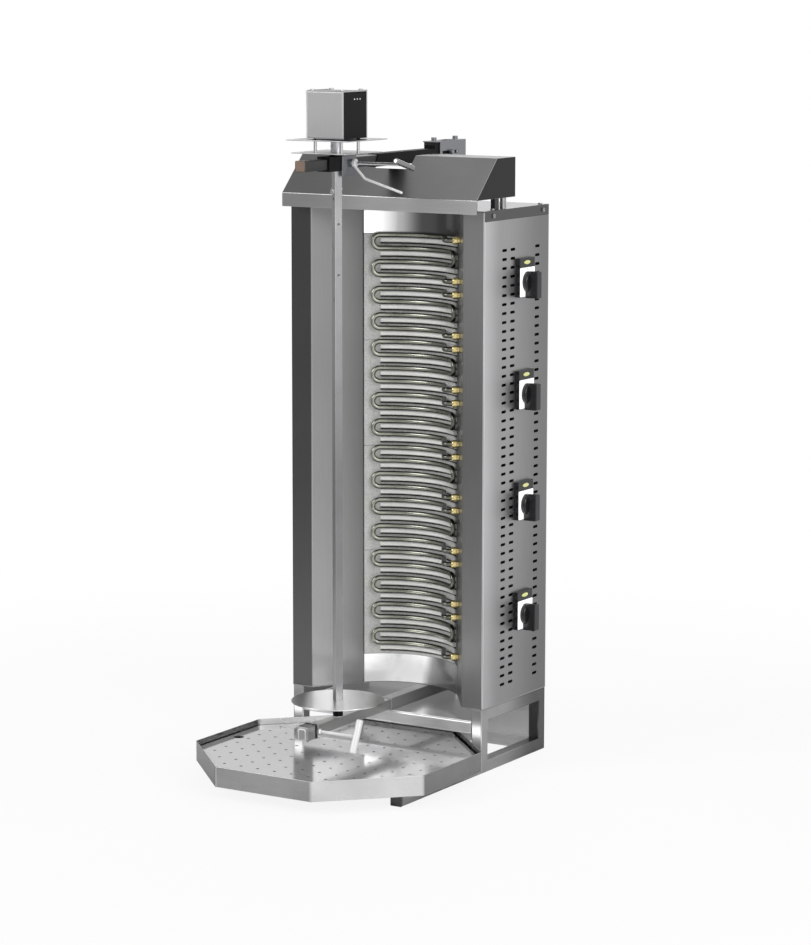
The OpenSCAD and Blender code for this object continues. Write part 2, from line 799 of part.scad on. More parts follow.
module upper_arm() color("silver")
    difference() {
        arm_tube(upper_z, upper_arm_back_y);
        translate([0, spit_y, upper_z - arm_s]) cylinder(r = arm_bore, h = 2 * arm_s);
    }

// The block wraps the arm and carries the drive shaft
block_ahead = 38;
block_behind = 34.5;
block_front_y = spit_y - block_ahead;
block_back_y = spit_y + block_behind;
plate_rise = 4.4;
plate_z = upper_z + block_s / 2 + plate_rise;
boss_r = block_s / 2 - hole_fit;
module bearing_block() color([0.09, 0.09, 0.1])
    difference() {
        union() {
            box(-block_s / 2, block_s / 2, block_front_y, block_back_y,
                upper_z - block_s / 2, upper_z + block_s / 2);
            translate([0, spit_y, upper_z]) cylinder(r = boss_r, h = plate_z - upper_z);
        }
        box(-arm_s / 2 - turn_fit, arm_s / 2 + turn_fit, block_front_y - over, block_back_y + over,
            upper_z - arm_s / 2 - turn_fit, upper_z + arm_s / 2 + turn_fit);
        translate([0, spit_y, upper_z - block_s]) cylinder(r = shaft_r + turn_fit, h = 3 * block_s);
        translate([arm_s / 2 - over, clamp_y, upper_z]) rotate([0, 90, 0])
            cylinder(r = screw_r + turn_fit, h = block_s);
    }

clamp_t = 2;
clamp_ahead = 5;
clamp_front_y = spit_y - clamp_ahead;
clamp_back_y = block_back_y;
clamp_down = 20;
clamp_round = 10;
clamp_nut_r = 6;
clamp_nut_h = 4;
module clamp_plate() color("lightslategray") {
    plate_x = block_s / 2;
    difference() {
        union() {
            along_x(plate_x, clamp_t) {
                translate([clamp_front_y, upper_z - clamp_down + clamp_round])
                    square([clamp_back_y - clamp_front_y, clamp_down - clamp_round + block_s / 2]);
                translate([clamp_front_y, upper_z - clamp_down])
                    square([clamp_back_y - clamp_front_y - clamp_round, clamp_round]);
                translate([clamp_back_y - clamp_round, upper_z - clamp_down + clamp_round])
                    circle(r = clamp_round);
            }
            translate([plate_x, clamp_y, upper_z]) rotate([0, 90, 0])
                cylinder(r = clamp_nut_r, h = clamp_t + clamp_nut_h, $fn = 6);
        }
        translate([plate_x - over, clamp_y, upper_z]) rotate([0, 90, 0])
            cylinder(r = screw_r + turn_fit, h = clamp_t + clamp_nut_h + 2 * over);
    }
}

// Clamp screw with its cross bar, along X from the arm's side; the bar leans by an angle from upright
module tee_screw(y, z, x0, x1, lean, bar_r) {
    translate([x0, y, z]) rotate([0, 90, 0]) cylinder(r = screw_r, h = x1 - x0);
    translate([x1, y, z]) rotate([lean, 0, 0]) translate([0, 0, -tee_len / 2]) cylinder(r = bar_r, h = tee_len);
}

// Angles of the cross bars from upright, in degrees
upper_bar_angle = -105.7;
lower_bar_angle = -24.3;
module upper_clamp_screw() color("whitesmoke")
    tee_screw(clamp_y, upper_z, arm_s / 2 + turn_fit, tee_out_upper, upper_bar_angle, upper_bar_r);

// Bent lever on a ring about the upper clamp screw
lever_r = 2;
lever_ring_r = 6.5;
lever_ring_h = 4;
lever_x = block_s / 2 + clamp_t + clamp_nut_h + run_gap;
lever_steep_angle = -45;
lever_flat_angle = -16;
lever_bend = 8;
lever_drop = 24;
lever_reach = 68;
module lock_lever() color("whitesmoke") {
    root = [lever_ring_h / 2, -lever_ring_r + over];
    bend_start = root + lever_drop * [cos(lever_steep_angle), sin(lever_steep_angle)];
    bend_centre = bend_start + lever_bend * [-sin(lever_steep_angle), cos(lever_steep_angle)];
    bend_end = bend_centre - lever_bend * [-sin(lever_flat_angle), cos(lever_flat_angle)];
    translate([lever_x, clamp_y, upper_z]) {
        rotate([0, 90, 0])
            difference() {
                cylinder(r = lever_ring_r, h = lever_ring_h);
                translate([0, 0, -over]) cylinder(r = screw_r + turn_fit, h = lever_ring_h + 2 * over);
            }
        rotate([90, 0, 0]) {
            translate(root) rotate([0, 0, lever_steep_angle]) rotate([0, 90, 0])
                cylinder(r = lever_r, h = lever_drop);
            translate(bend_centre) bent_rod(lever_bend, lever_steep_angle - 90, lever_flat_angle - 90, lever_r);
            translate(bend_end) rotate([0, 0, lever_flat_angle]) rotate([0, 90, 0])
                cylinder(r = lever_r, h = lever_reach);
        }
    }
}

/* Drive */

plate_t = 1.5;
upper_plate_z = plate_z + plate_gap + plate_t;
post_in = 24;
post_r = 2.5;
module heat_plate(s, z) {
    difference() {
        translate([-s / 2, spit_y - s / 2, z]) cube([s, s, plate_t]);
        translate([0, spit_y, z - over]) cylinder(r = shaft_r + 2 * turn_fit + hole_fit, h = plate_t + 2 * over);
    }
}

module heat_plates() color("silver") {
    heat_plate(plate_lower, plate_z);
    heat_plate(plate_upper, upper_plate_z);
}

module plate_posts() color("silver")
    for (x = [-post_in, post_in], y = [-post_in, post_in])
        translate([x, spit_y + y, plate_z + plate_t]) cylinder(r = post_r, h = plate_gap);

motor_foot_r = 3;
motor_foot_h = 1.5;
motor_z = upper_plate_z + plate_t + motor_foot_h;
motor_screw_in = 27;
module motor_housing() color([0.1, 0.1, 0.1])
    translate([0, spit_y, motor_z]) {
        half = motor_s / 2;
        difference() {
            translate([-half, -half + sheet, 0]) cube([motor_s, motor_s - 2 * sheet, motor_h - sheet]);
            translate([-half + sheet, -half, sheet]) cube([motor_s - 2 * sheet, motor_s, motor_h]);
            translate([0, 0, -over]) cylinder(r = shaft_r + hole_fit, h = sheet + 2 * over);
            for (i = [0 : 2])
                translate([half - 2 * sheet, spy_y + i * spy_pitch, motor_h - spy_drop]) rotate([0, 90, 0])
                    cylinder(r = spy_r, h = 3 * sheet);
        }
        for (x = [-post_in, post_in], y = [-post_in, post_in])
            translate([x, y, -motor_foot_h]) cylinder(r = motor_foot_r, h = motor_foot_h + sheet / 2);
    }

spy_r = 1.5;
spy_y = 2;
spy_pitch = 6;
spy_drop = 8;

module motor_cover() color("silver")
    translate([0, spit_y, motor_z]) {
        half = motor_s / 2;
        for (y = [-half, half - sheet])
            translate([-half, y, 0]) cube([motor_s, sheet, motor_h - sheet]);
        translate([-half, -half, motor_h - sheet]) cube([motor_s, motor_s, sheet]);
        for (x = [-motor_screw_in, motor_screw_in], y = [-motor_screw_in, motor_screw_in])
            translate([x, y, motor_h]) cylinder(r = screw_head_r, h = screw_head_h);
    }

gear_s = 56;
gear_h = 26;
can_r = 23;
can_h = 34;
module gear_motor() color("slategray")
    translate([0, spit_y, motor_z + sheet])
        difference() {
            union() {
                translate([-gear_s / 2, -gear_s / 2, 0]) cube([gear_s, gear_s, gear_h]);
                cylinder(r = can_r, h = gear_h + can_h);
            }
            translate([0, 0, -over]) cylinder(r = shaft_r + turn_fit, h = gear_h / 2 + over);
        }

// Drive shaft with its hub between the heat plates; the spit's tenon goes up into its lower end
hub_r = 8;
hub_clear = 2;
tenon_r = 4;
tenon_len = 18;
set_r = 2;
set_out = 3;
set_angle = -20;
module drive_hub() color("lightsteelblue")
    translate([0, spit_y, 0])
        difference() {
            union() {
                translate([0, 0, upper_z - block_s / 2]) cylinder(r = shaft_r,
                    h = motor_z + sheet + gear_h / 2 - over - upper_z + block_s / 2);
                translate([0, 0, plate_z + plate_t + hub_clear])
                    cylinder(r = hub_r, h = plate_gap - 2 * hub_clear);
                translate([0, 0, plate_z + plate_t + plate_gap / 2]) rotate([90, 0, set_angle])
                    cylinder(r = set_r, h = hub_r + set_out);
            }
            translate([0, 0, upper_z - block_s / 2 - over]) cylinder(r = tenon_r + turn_fit, h = tenon_len + over);
        }

/* Spit */

spit_turn = -32;
disc_hub_r = 8;
pivot_r = 4;
pivot_up = 12;
pivot_flange = 1;
pivot_flange_r = 9;
hub_z = lower_top + pivot_flange + run_gap;
disc_z = hub_z + hub_h;
spit_socket = 8;
spit_top = upper_z - block_s / 2 - run_gap;
spit_holes = 5;
spit_hole_r = 2;
spit_hole_pitch = 39.5;
spit_hole_drop = 43;
spit_pin_drop = 28;

module spit_bar() color("gainsboro")
    translate([0, spit_y, 0]) rotate([0, 0, spit_turn])
        difference() {
            union() {
                translate([-spit_s / 2, -spit_s / 2, disc_z]) cube([spit_s, spit_s, spit_top - disc_z]);
                translate([0, 0, disc_z - spit_socket + run_gap])
                    cylinder(r = tenon_r, h = spit_top + tenon_len - over - disc_z + spit_socket - run_gap);
            }
            for (i = [0 : spit_holes - 1])
                translate([0, 0, spit_top - spit_hole_drop - i * spit_hole_pitch])
                    rotate([90, 0, i % 2 * 90]) translate([0, 0, -spit_s])
                        cylinder(r = spit_hole_r, h = 2 * spit_s);
            translate([0, 0, spit_top - spit_pin_drop]) rotate([90, 0, 0])
                translate([0, 0, -spit_s]) cylinder(r = lock_pin_r + turn_fit, h = 2 * spit_s);
        }

lock_pin_r = 1.5;
lock_pin_out = 3;
ring_r = 4;
ring_wire = 0.8;
module spit_pin() color("whitesmoke")
    translate([0, spit_y, spit_top - spit_pin_drop]) rotate([0, 0, spit_turn]) {
        translate([0, spit_s / 2 + lock_pin_out, 0]) rotate([90, 0, 0])
            cylinder(r = lock_pin_r, h = spit_s + 2 * lock_pin_out);
        translate([0, ring_wire - spit_s / 2 - lock_pin_out, -ring_r]) rotate([90, 0, 0])
            rotate_extrude() translate([ring_r, 0]) circle(r = ring_wire);
    }

module spit_disc() color("gainsboro")
    translate([0, spit_y, disc_z])
        difference() {
            cylinder(r = disc_r, h = disc_t, $fn = round_fn);
            rotate([0, 0, spit_turn])
                translate([-spit_s / 2 - turn_fit, -spit_s / 2 - turn_fit, -over])
                    cube([spit_s + 2 * turn_fit, spit_s + 2 * turn_fit, disc_t + 2 * over]);
        }

module disc_hub() color([0.1, 0.1, 0.1])
    translate([0, spit_y, hub_z])
        difference() {
            cylinder(r = disc_hub_r, h = hub_h);
            translate([0, 0, -over]) cylinder(r = pivot_r + turn_fit, h = pivot_up + run_gap + over);
            translate([0, 0, hub_h - spit_socket]) cylinder(r = tenon_r + turn_fit, h = spit_socket + over);
        }

/* Lower arm */

lower_arm_short = 60;
lower_arm_back_y = back_y - lower_arm_short;
module lower_arm() color("silver")
    difference() {
        arm_tube(lower_z, lower_arm_back_y);
        translate([0, spit_y, lower_z - arm_s]) cylinder(r = pivot_r + turn_fit, h = 2 * arm_s);
        translate([0, lower_clamp_y, lower_z]) rotate([0, 90, 0]) cylinder(r = screw_r + turn_fit, h = arm_s);
    }

module pivot_pin() color("lightsteelblue")
    translate([0, spit_y, 0]) {
        translate([0, 0, lower_z - arm_s / 2]) cylinder(r = pivot_r, h = arm_s + pivot_flange + pivot_up);
        translate([0, 0, lower_top]) cylinder(r = pivot_flange_r, h = pivot_flange);
    }

// Collar about the front end of the lower arm, with the nut of its clamp screw beside it
collar_s = 22;
collar_len = 20;
collar_out = 2;
module lower_collar() color("silver") {
    tube_y(0, lower_z, arm_front_y - collar_out, arm_front_y + collar_len, collar_s,
           (collar_s - arm_s) / 2 - turn_fit);
    box(-collar_s / 2, collar_s / 2, arm_front_y - collar_out, arm_front_y,
        lower_z - collar_s / 2, lower_z + collar_s / 2);
    difference() {
        translate([arm_s / 2, lower_clamp_y, lower_z]) rotate([0, 90, 0])
            cylinder(r = clamp_nut_r, h = clamp_nut_h + clamp_t, $fn = 6);
        translate([0, lower_clamp_y, lower_z]) rotate([0, 90, 0])
            cylinder(r = screw_r + turn_fit, h = collar_s);
    }
}

module lower_clamp_screw() color("whitesmoke")
    tee_screw(lower_clamp_y, lower_z, arm_s / 2 - tube_wall, tee_out_lower, lower_bar_angle, lower_bar_r);

/* Tray */

tray_z = tube_s + run_gap;
module octagon(flat) {
    rotate([0, 0, 180 / 8]) circle(r = flat / 2 / cos(180 / 8), $fn = 8);
}

module drip_tray() color("silver")
    translate([0, spit_y, tray_z])
        difference() {
            linear_extrude(tray_h) octagon(tray_flat);
            translate([0, 0, tray_sheet]) linear_extrude(tray_h) octagon(tray_flat - 2 * tray_sheet);
        }

// Perforated false bottom, with a skirt that stands in the tray and a finger hole to lift it by
plate_play = 3;
finger_r = 8.5;
finger_in = 18;
drip_flat = tray_flat - 2 * tray_sheet - 2 * plate_play;
drip_reach = floor(drip_flat / 2 / drip_pitch);
hole_edge = 12;
module drip_plate() color("whitesmoke")
    translate([0, spit_y, tray_z + tray_sheet + run_gap])
        difference() {
            linear_extrude(skirt_h) octagon(drip_flat);
            translate([0, 0, -over])
                linear_extrude(skirt_h - tray_sheet + over) octagon(drip_flat - 2 * tray_sheet);
            for (i = [-drip_reach : drip_reach], j = [-drip_reach : drip_reach]) {
                x = (i + 1 / 2) * drip_pitch;
                y = j * drip_pitch;
                edge = drip_flat / 2 - hole_edge;
                if (abs(x) < edge && abs(y) < edge && abs(x) + abs(y) < edge * sqrt(2))
                    translate([x, y, 0]) cylinder(r = drip_r, h = skirt_h + over, $fn = 16);
            }
            translate([-drip_flat / 2 + finger_in, 0, 0]) cylinder(r = finger_r, h = skirt_h + over);
        }

base_left_frame();
base_right_frame();
base_cross_rails();
base_deck();
base_back_panel();
arm_plug();
left_pillar();
right_pillar();
left_side_cover();
right_side_cover();
back_cover();
top_cover();
bottom_plate();
heater_wall();
reflectors();
insulation_boards();
heating_element(0);  // heating_element_1
heating_element(1);  // heating_element_2
heating_element(2);  // heating_element_3
heating_element(3);  // heating_element_4
heating_element(4);  // heating_element_5
heating_element(5);  // heating_element_6
heating_element(6);  // heating_element_7
heating_element(7);  // heating_element_8
heater_glands();
switch_bodies();
switch_bezels();
pilot_lamps();
knob(0);  // knob_1
knob(1);  // knob_2
knob(2);  // knob_3
knob(3);  // knob_4
terminal_block();
cable_gland();
canopy();
canopy_blocks();
fasteners();
rear_bracket();
arm_sleeves();
upper_arm();
bearing_block();
clamp_plate();
upper_clamp_screw();
lock_lever();
heat_plates();
plate_posts();
motor_housing();
motor_cover();
gear_motor();
drive_hub();
spit_bar();
spit_pin();
spit_disc();
disc_hub();
lower_arm();
pivot_pin();
lower_collar();
lower_clamp_screw();
drip_tray();
drip_plate();
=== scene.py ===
# Looks of the doner kebab machine: camera, room, finishes, rounded edges and the small forms that the
# solids leave out. Lengths in the spec tables are in millimetres, except for those of the camera, the
# stage and the finishes, which are in metres.

import json
import math

import bmesh
import bpy
from mathutils import Matrix, Vector


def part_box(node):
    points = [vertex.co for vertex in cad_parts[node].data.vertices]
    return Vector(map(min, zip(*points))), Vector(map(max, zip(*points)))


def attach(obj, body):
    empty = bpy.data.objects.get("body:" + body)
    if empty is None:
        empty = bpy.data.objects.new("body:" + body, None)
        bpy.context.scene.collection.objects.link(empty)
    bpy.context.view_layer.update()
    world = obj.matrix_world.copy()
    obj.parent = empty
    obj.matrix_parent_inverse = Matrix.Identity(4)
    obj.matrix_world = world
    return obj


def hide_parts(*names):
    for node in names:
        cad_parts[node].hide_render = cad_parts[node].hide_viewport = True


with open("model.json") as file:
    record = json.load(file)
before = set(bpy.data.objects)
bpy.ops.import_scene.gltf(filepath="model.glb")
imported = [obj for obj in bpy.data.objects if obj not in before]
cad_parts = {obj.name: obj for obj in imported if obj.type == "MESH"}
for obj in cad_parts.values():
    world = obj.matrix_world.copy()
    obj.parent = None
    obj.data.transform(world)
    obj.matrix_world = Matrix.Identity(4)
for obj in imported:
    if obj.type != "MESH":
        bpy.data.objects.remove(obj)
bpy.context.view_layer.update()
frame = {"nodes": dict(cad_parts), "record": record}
scene = bpy.context.scene
nodes = frame["nodes"]
bodyOf = {node: body for body, group in frame["record"]["behaviour"]["bodies"].items() for node in group}
slotOf = {entry["node"]: entry["material_slot"] for entry in frame["record"]["subparts"]}
mm = 0.001


# Camera and stage

cameraSpec = {
    "place": (2.7141, -4.26525, 1.2713),
    "azimuth": 31.725,
    "pitch": 8.864,
    "roll": 0.072,
    "focalPx": 3214.537,
    "frameHeightPx": 945,
    "sensor": 36.0,
}


def makeCamera(spec):
    a, e, roll = (math.radians(spec[k]) for k in ("azimuth", "pitch", "roll"))
    back = Vector((math.sin(a) * math.cos(e), -math.cos(a) * math.cos(e), math.sin(e)))
    right = Vector((math.cos(a), math.sin(a), 0))
    up = back.cross(right)
    right2 = right * math.cos(roll) + up * math.sin(roll)
    up2 = up * math.cos(roll) - right * math.sin(roll)
    data = bpy.data.cameras.new("camera")
    data.sensor_width = spec["sensor"]
    data.lens = spec["focalPx"] / spec["frameHeightPx"] * spec["sensor"]
    data.clip_start = 0.05
    data.clip_end = 400
    camera = bpy.data.objects.new("camera", data)
    turn = Matrix((right2, up2, back)).transposed().to_4x4()
    camera.matrix_world = Matrix.Translation(spec["place"]) @ turn
    scene.collection.objects.link(camera)
    scene.camera = camera


makeCamera(cameraSpec)
scene.view_settings.view_transform = "Standard"
print("camera set")


# Helpers for node trees and meshes


def addNode(tree, kind, where=(0, 0), **values):
    node = tree.nodes.new(kind)
    node.location = where
    for key, value in values.items():
        setattr(node, key, value)
    return node


def join(tree, source, target):
    tree.links.new(source, target)


def newGroup(name, inputs, outputs, kind="ShaderNodeTree"):
    # A node group with its sockets, given as label: kind, and its two end nodes
    group = bpy.data.node_groups.new(name, kind)
    for side, sockets in (("INPUT", inputs), ("OUTPUT", outputs)):
        for label, socketKind in sockets.items():
            group.interface.new_socket(name=label, in_out=side, socket_type="NodeSocket" + socketKind)
    start = addNode(group, "NodeGroupInput", (-900, 0))
    end = addNode(group, "NodeGroupOutput", (900, 0))
    return group, start, end


def newObject(name, mesh):
    piece = bpy.data.objects.new(name, mesh)
    scene.collection.objects.link(piece)
    return piece


def finishPiece(piece, body, slotName, material, *replaced):
    piece.data.materials.clear()
    piece.data.materials.append(material)
    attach(piece, body)
    if replaced:
        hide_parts(*replaced)


def shadeByAngle(mesh, angle=35):
    mesh.shade_smooth()
    mesh.set_sharp_from_angle(angle=math.radians(angle))


def meshFrom(name, build, smoothAngle=35):
    bm = bmesh.new()
    build(bm)
    bmesh.ops.remove_doubles(bm, verts=bm.verts, dist=1e-6)
    bmesh.ops.recalc_face_normals(bm, faces=bm.faces)
    mesh = bpy.data.meshes.new(name)
    bm.to_mesh(mesh)
    bm.free()
    shadeByAngle(mesh, smoothAngle)
    return mesh


def applyModifiers(piece, smoothAngle=None):
    graph = bpy.context.evaluated_depsgraph_get()
    mesh = bpy.data.meshes.new_from_object(piece.evaluated_get(graph), depsgraph=graph)
    piece.modifiers.clear()
    piece.data = mesh
    if smoothAngle:
        shadeByAngle(mesh, smoothAngle)


# World and floor: a white backdrop behind the object, soft boxes and dim walls round the rest of the room

# Share of a turn, from -X by way of -Y, and the room's brightness there
roomStops = [
    (0.0, 0.35), (0.1, 0.34), (0.16, 0.34), (0.22, 0.4), (0.28, 0.45), (0.34, 0.7), (0.375, 1.2),
    (0.42, 1.15), (0.45, 0.6), (0.47, 0.5), (0.52, 0.55), (0.58, 0.8), (0.66, 0.8), (0.72, 0.5),
    (0.79, 0.5), (0.83, 0.62), (0.86, 0.62), (0.9, 0.28), (0.93, 0.25), (1.0, 0.35),
]
floorSpec = {"colour": (0.93, 0.93, 0.93), "size": 60.0, "fadeFrom": 0.7, "fadeTo": 1.9, "lift": 0.88}
lampSpec = {
    "key": {"place": (-2.6, -3.4, 3.2), "aim": (0, 0, 0.55), "size": 2.4, "power": 80},
    "side": {"place": (3.6, -1.2, 2.2), "aim": (0, 0, 0.6), "size": 1.8, "power": 40},
    "back": {"place": (-1.2, 3.2, 2.6), "aim": (0, 0, 0.7), "size": 2.0, "power": 14},
}


def makeRoomGroup(stops):
    # Brightness of the room in the direction of a vector
    group, start, end = newGroup("roomShade", {"Direction": "Vector"}, {"Shade": "Color"})
    split = addNode(group, "ShaderNodeSeparateXYZ", (-600, 0))
    angle = addNode(group, "ShaderNodeMath", (-400, 0), operation="ARCTAN2")
    turn = addNode(group, "ShaderNodeMapRange", (-200, 0))
    turn.inputs["From Min"].default_value = -math.pi
    turn.inputs["From Max"].default_value = math.pi
    ramp = addNode(group, "ShaderNodeValToRGB", (100, 0))
    points = ramp.color_ramp.elements
    while len(points) < len(stops):
        points.new(0.5)
    for point, (at, level) in zip(points, stops):
        point.position = at
        point.color = (level, level, level, 1)
    join(group, start.outputs["Direction"], split.inputs[0])
    join(group, split.outputs["Y"], angle.inputs[0])
    join(group, split.outputs["X"], angle.inputs[1])
    join(group, angle.outputs[0], turn.inputs["Value"])
    join(group, turn.outputs["Result"], ramp.inputs["Fac"])
    join(group, ramp.outputs["Color"], end.inputs["Shade"])
    return group


roomGroup = makeRoomGroup(roomStops)


def makeWorld():
    # The camera sees white; every other ray sees the room
    world = bpy.data.worlds.new("studio")
    scene.world = world
    world.use_nodes = True
    tree = world.node_tree
    tree.nodes.clear()
    out = addNode(tree, "ShaderNodeOutputWorld", (900, 0))
    coord = addNode(tree, "ShaderNodeTexCoord", (-300, 0))
    shade = addNode(tree, "ShaderNodeGroup", (0, 100), node_tree=roomGroup)
    room = addNode(tree, "ShaderNodeBackground", (400, 100))
    white = addNode(tree, "ShaderNodeBackground", (400, -100))
    white.inputs["Color"].default_value = (1, 1, 1, 1)
    light = addNode(tree, "ShaderNodeLightPath", (400, 400))
    mix = addNode(tree, "ShaderNodeMixShader", (700, 0))
    join(tree, coord.outputs["Generated"], shade.inputs["Direction"])
    join(tree, shade.outputs["Shade"], room.inputs["Color"])
    join(tree, light.outputs["Is Camera Ray"], mix.inputs["Fac"])
    join(tree, room.outputs[0], mix.inputs[1])
    join(tree, white.outputs[0], mix.inputs[2])
    join(tree, mix.outputs[0], out.inputs["Surface"])


def makeFloor(spec):
    # A matte floor near the object, lifted to near white for the camera, that fades into the backdrop
    half = spec["size"] / 2
    corners = [(-half, -half, 0), (half, -half, 0), (half, half, 0), (-half, half, 0)]
    mesh = bpy.data.meshes.new("floor")
    mesh.from_pydata(corners, [], [(0, 1, 2, 3)])
    floor = newObject("floor", mesh)
    material = bpy.data.materials.new("paleFloor")
    material.use_nodes = True
    tree = material.node_tree
    tree.nodes.clear()
    out = addNode(tree, "ShaderNodeOutputMaterial", (1200, 0))
    matte = addNode(tree, "ShaderNodeBsdfDiffuse", (0, 100))
    matte.inputs["Color"].default_value = (*spec["colour"], 1)
    coord = addNode(tree, "ShaderNodeTexCoord", (-900, 0))
    length = addNode(tree, "ShaderNodeVectorMath", (-700, 0), operation="LENGTH")
    fade = addNode(tree, "ShaderNodeMapRange", (-500, 0), interpolation_type="SMOOTHSTEP")
    fade.inputs["From Min"].default_value = spec["fadeFrom"]
    fade.inputs["From Max"].default_value = spec["fadeTo"]
    shade = addNode(tree, "ShaderNodeGroup", (-500, -300), node_tree=roomGroup)
    glow = addNode(tree, "ShaderNodeEmission", (0, -100))
    roomGlow = addNode(tree, "ShaderNodeEmission", (0, -250))
    light = addNode(tree, "ShaderNodeLightPath", (-500, 500))
    lift = addNode(tree, "ShaderNodeMixShader", (250, 200))
    lift.inputs["Fac"].default_value = spec["lift"]
    near = addNode(tree, "ShaderNodeMixShader", (500, 200))
    far = addNode(tree, "ShaderNodeMixShader", (500, -150))
    mix = addNode(tree, "ShaderNodeMixShader", (900, 0))
    join(tree, coord.outputs["Object"], length.inputs[0])
    join(tree, length.outputs["Value"], fade.inputs["Value"])
    join(tree, coord.outputs["Object"], shade.inputs["Direction"])
    join(tree, shade.outputs["Shade"], roomGlow.inputs["Color"])
    join(tree, matte.outputs[0], lift.inputs[1])
    join(tree, glow.outputs[0], lift.inputs[2])
    for target in (near, far):
        join(tree, light.outputs["Is Camera Ray"], target.inputs["Fac"])
    join(tree, matte.outputs[0], near.inputs[1])
    join(tree, lift.outputs[0], near.inputs[2])
    join(tree, roomGlow.outputs[0], far.inputs[1])
    join(tree, glow.outputs[0], far.inputs[2])
    join(tree, fade.outputs["Result"], mix.inputs["Fac"])
    join(tree, near.outputs[0], mix.inputs[1])
    join(tree, far.outputs[0], mix.inputs[2])
    join(tree, mix.outputs[0], out.inputs["Surface"])
    mesh.materials.append(material)


def makeLamp(name, spec):
    data = bpy.data.lights.new(name, "AREA")
    data.size = spec["size"]
    data.energy = spec["power"]
    lamp = bpy.data.objects.new(name, data)
    lamp.location = spec["place"]
    lamp.rotation_mode = "QUATERNION"
    lamp.rotation_quaternion = (Vector(spec["aim"]) - Vector(spec["place"])).to_track_quat("-Z", "Y")
    scene.collection.objects.link(lamp)


makeWorld()
makeFloor(floorSpec)
for lampName, lampValues in lampSpec.items():
    makeLamp(lampName + "Lamp", lampValues)
print("stage set")


# Shader groups


def makeGrainGroup():
    # Long fine scratches of a brushed sheet, and the cloudy patches over them
    group, start, end = newGroup(
        "brushedGrain",
        {"Stretch": "Vector", "Fineness": "Float", "Cloud Size": "Float", "Grain": "Float",
         "Cloud": "Float"},
        {"Shade": "Float", "Height": "Float", "Cloud": "Float"},
    )
    coord = addNode(group, "ShaderNodeTexCoord", (-900, 300))
    stretch = addNode(group, "ShaderNodeVectorMath", (-600, 200), operation="MULTIPLY")
    join(group, coord.outputs["Object"], stretch.inputs[0])
    join(group, start.outputs["Stretch"], stretch.inputs[1])
    grain = addNode(group, "ShaderNodeTexNoise", (-350, 250))
    grain.inputs["Detail"].default_value = 4
    grain.inputs["Roughness"].default_value = 0.6
    join(group, stretch.outputs[0], grain.inputs["Vector"])
    join(group, start.outputs["Fineness"], grain.inputs["Scale"])
    cloud = addNode(group, "ShaderNodeTexNoise", (-350, -50))
    cloud.inputs["Detail"].default_value = 3
    join(group, coord.outputs["Object"], cloud.inputs["Vector"])
    join(group, start.outputs["Cloud Size"], cloud.inputs["Scale"])
    shades = []
    for y, texture, amount in ((250, grain, "Grain"), (-50, cloud, "Cloud")):
        centre = addNode(group, "ShaderNodeMath", (-100, y), operation="SUBTRACT")
        centre.inputs[1].default_value = 0.5
        join(group, texture.outputs["Fac"], centre.inputs[0])
        weigh = addNode(group, "ShaderNodeMath", (80, y), operation="MULTIPLY")
        join(group, centre.outputs[0], weigh.inputs[0])
        join(group, start.outputs[amount], weigh.inputs[1])
        shades.append(weigh)
    total = addNode(group, "ShaderNodeMath", (300, 100), operation="ADD")
    join(group, shades[0].outputs[0], total.inputs[0])
    join(group, shades[1].outputs[0], total.inputs[1])
    shade = addNode(group, "ShaderNodeMath", (480, 100), operation="ADD")
    shade.inputs[1].default_value = 1
    join(group, total.outputs[0], shade.inputs[0])
    join(group, shade.outputs[0], end.inputs["Shade"])
    join(group, grain.outputs["Fac"], end.inputs["Height"])
    join(group, cloud.outputs["Fac"], end.inputs["Cloud"])
    return group


def makeToneGroup(name, coordName):
    # Change of tone along an axis: by place on the piece (Object), or by where a face looks (Normal). The
    # Normal tones are painted light and shade, and so are the Object ones, except the sleeve's two-tone
    # paint
    group, start, end = newGroup(
        name,
        {"Axis": "Vector", "From": "Float", "To": "Float", "Low": "Float", "High": "Float"},
        {"Shade": "Float"},
    )
    coord = addNode(group, "ShaderNodeTexCoord", (-700, 200))
    along = addNode(group, "ShaderNodeVectorMath", (-400, 100), operation="DOT_PRODUCT")
    tone = addNode(group, "ShaderNodeMapRange", (0, 0), interpolation_type="SMOOTHSTEP")
    join(group, coord.outputs[coordName], along.inputs[0])
    join(group, start.outputs["Axis"], along.inputs[1])
    join(group, along.outputs["Value"], tone.inputs["Value"])
    for source, target in (("From", "From Min"), ("To", "From Max"), ("Low", "To Min"), ("High", "To Max")):
        join(group, start.outputs[source], tone.inputs[target])
    join(group, tone.outputs["Result"], end.inputs["Shade"])
    return group


grainGroup = makeGrainGroup()
sweepGroup = makeToneGroup("slowSweep", "Object")
paintedFaceShadeGroup = makeToneGroup("paintedFaceShade", "Normal")
roughSpread = 0.1
bumpDistance = 0.0002


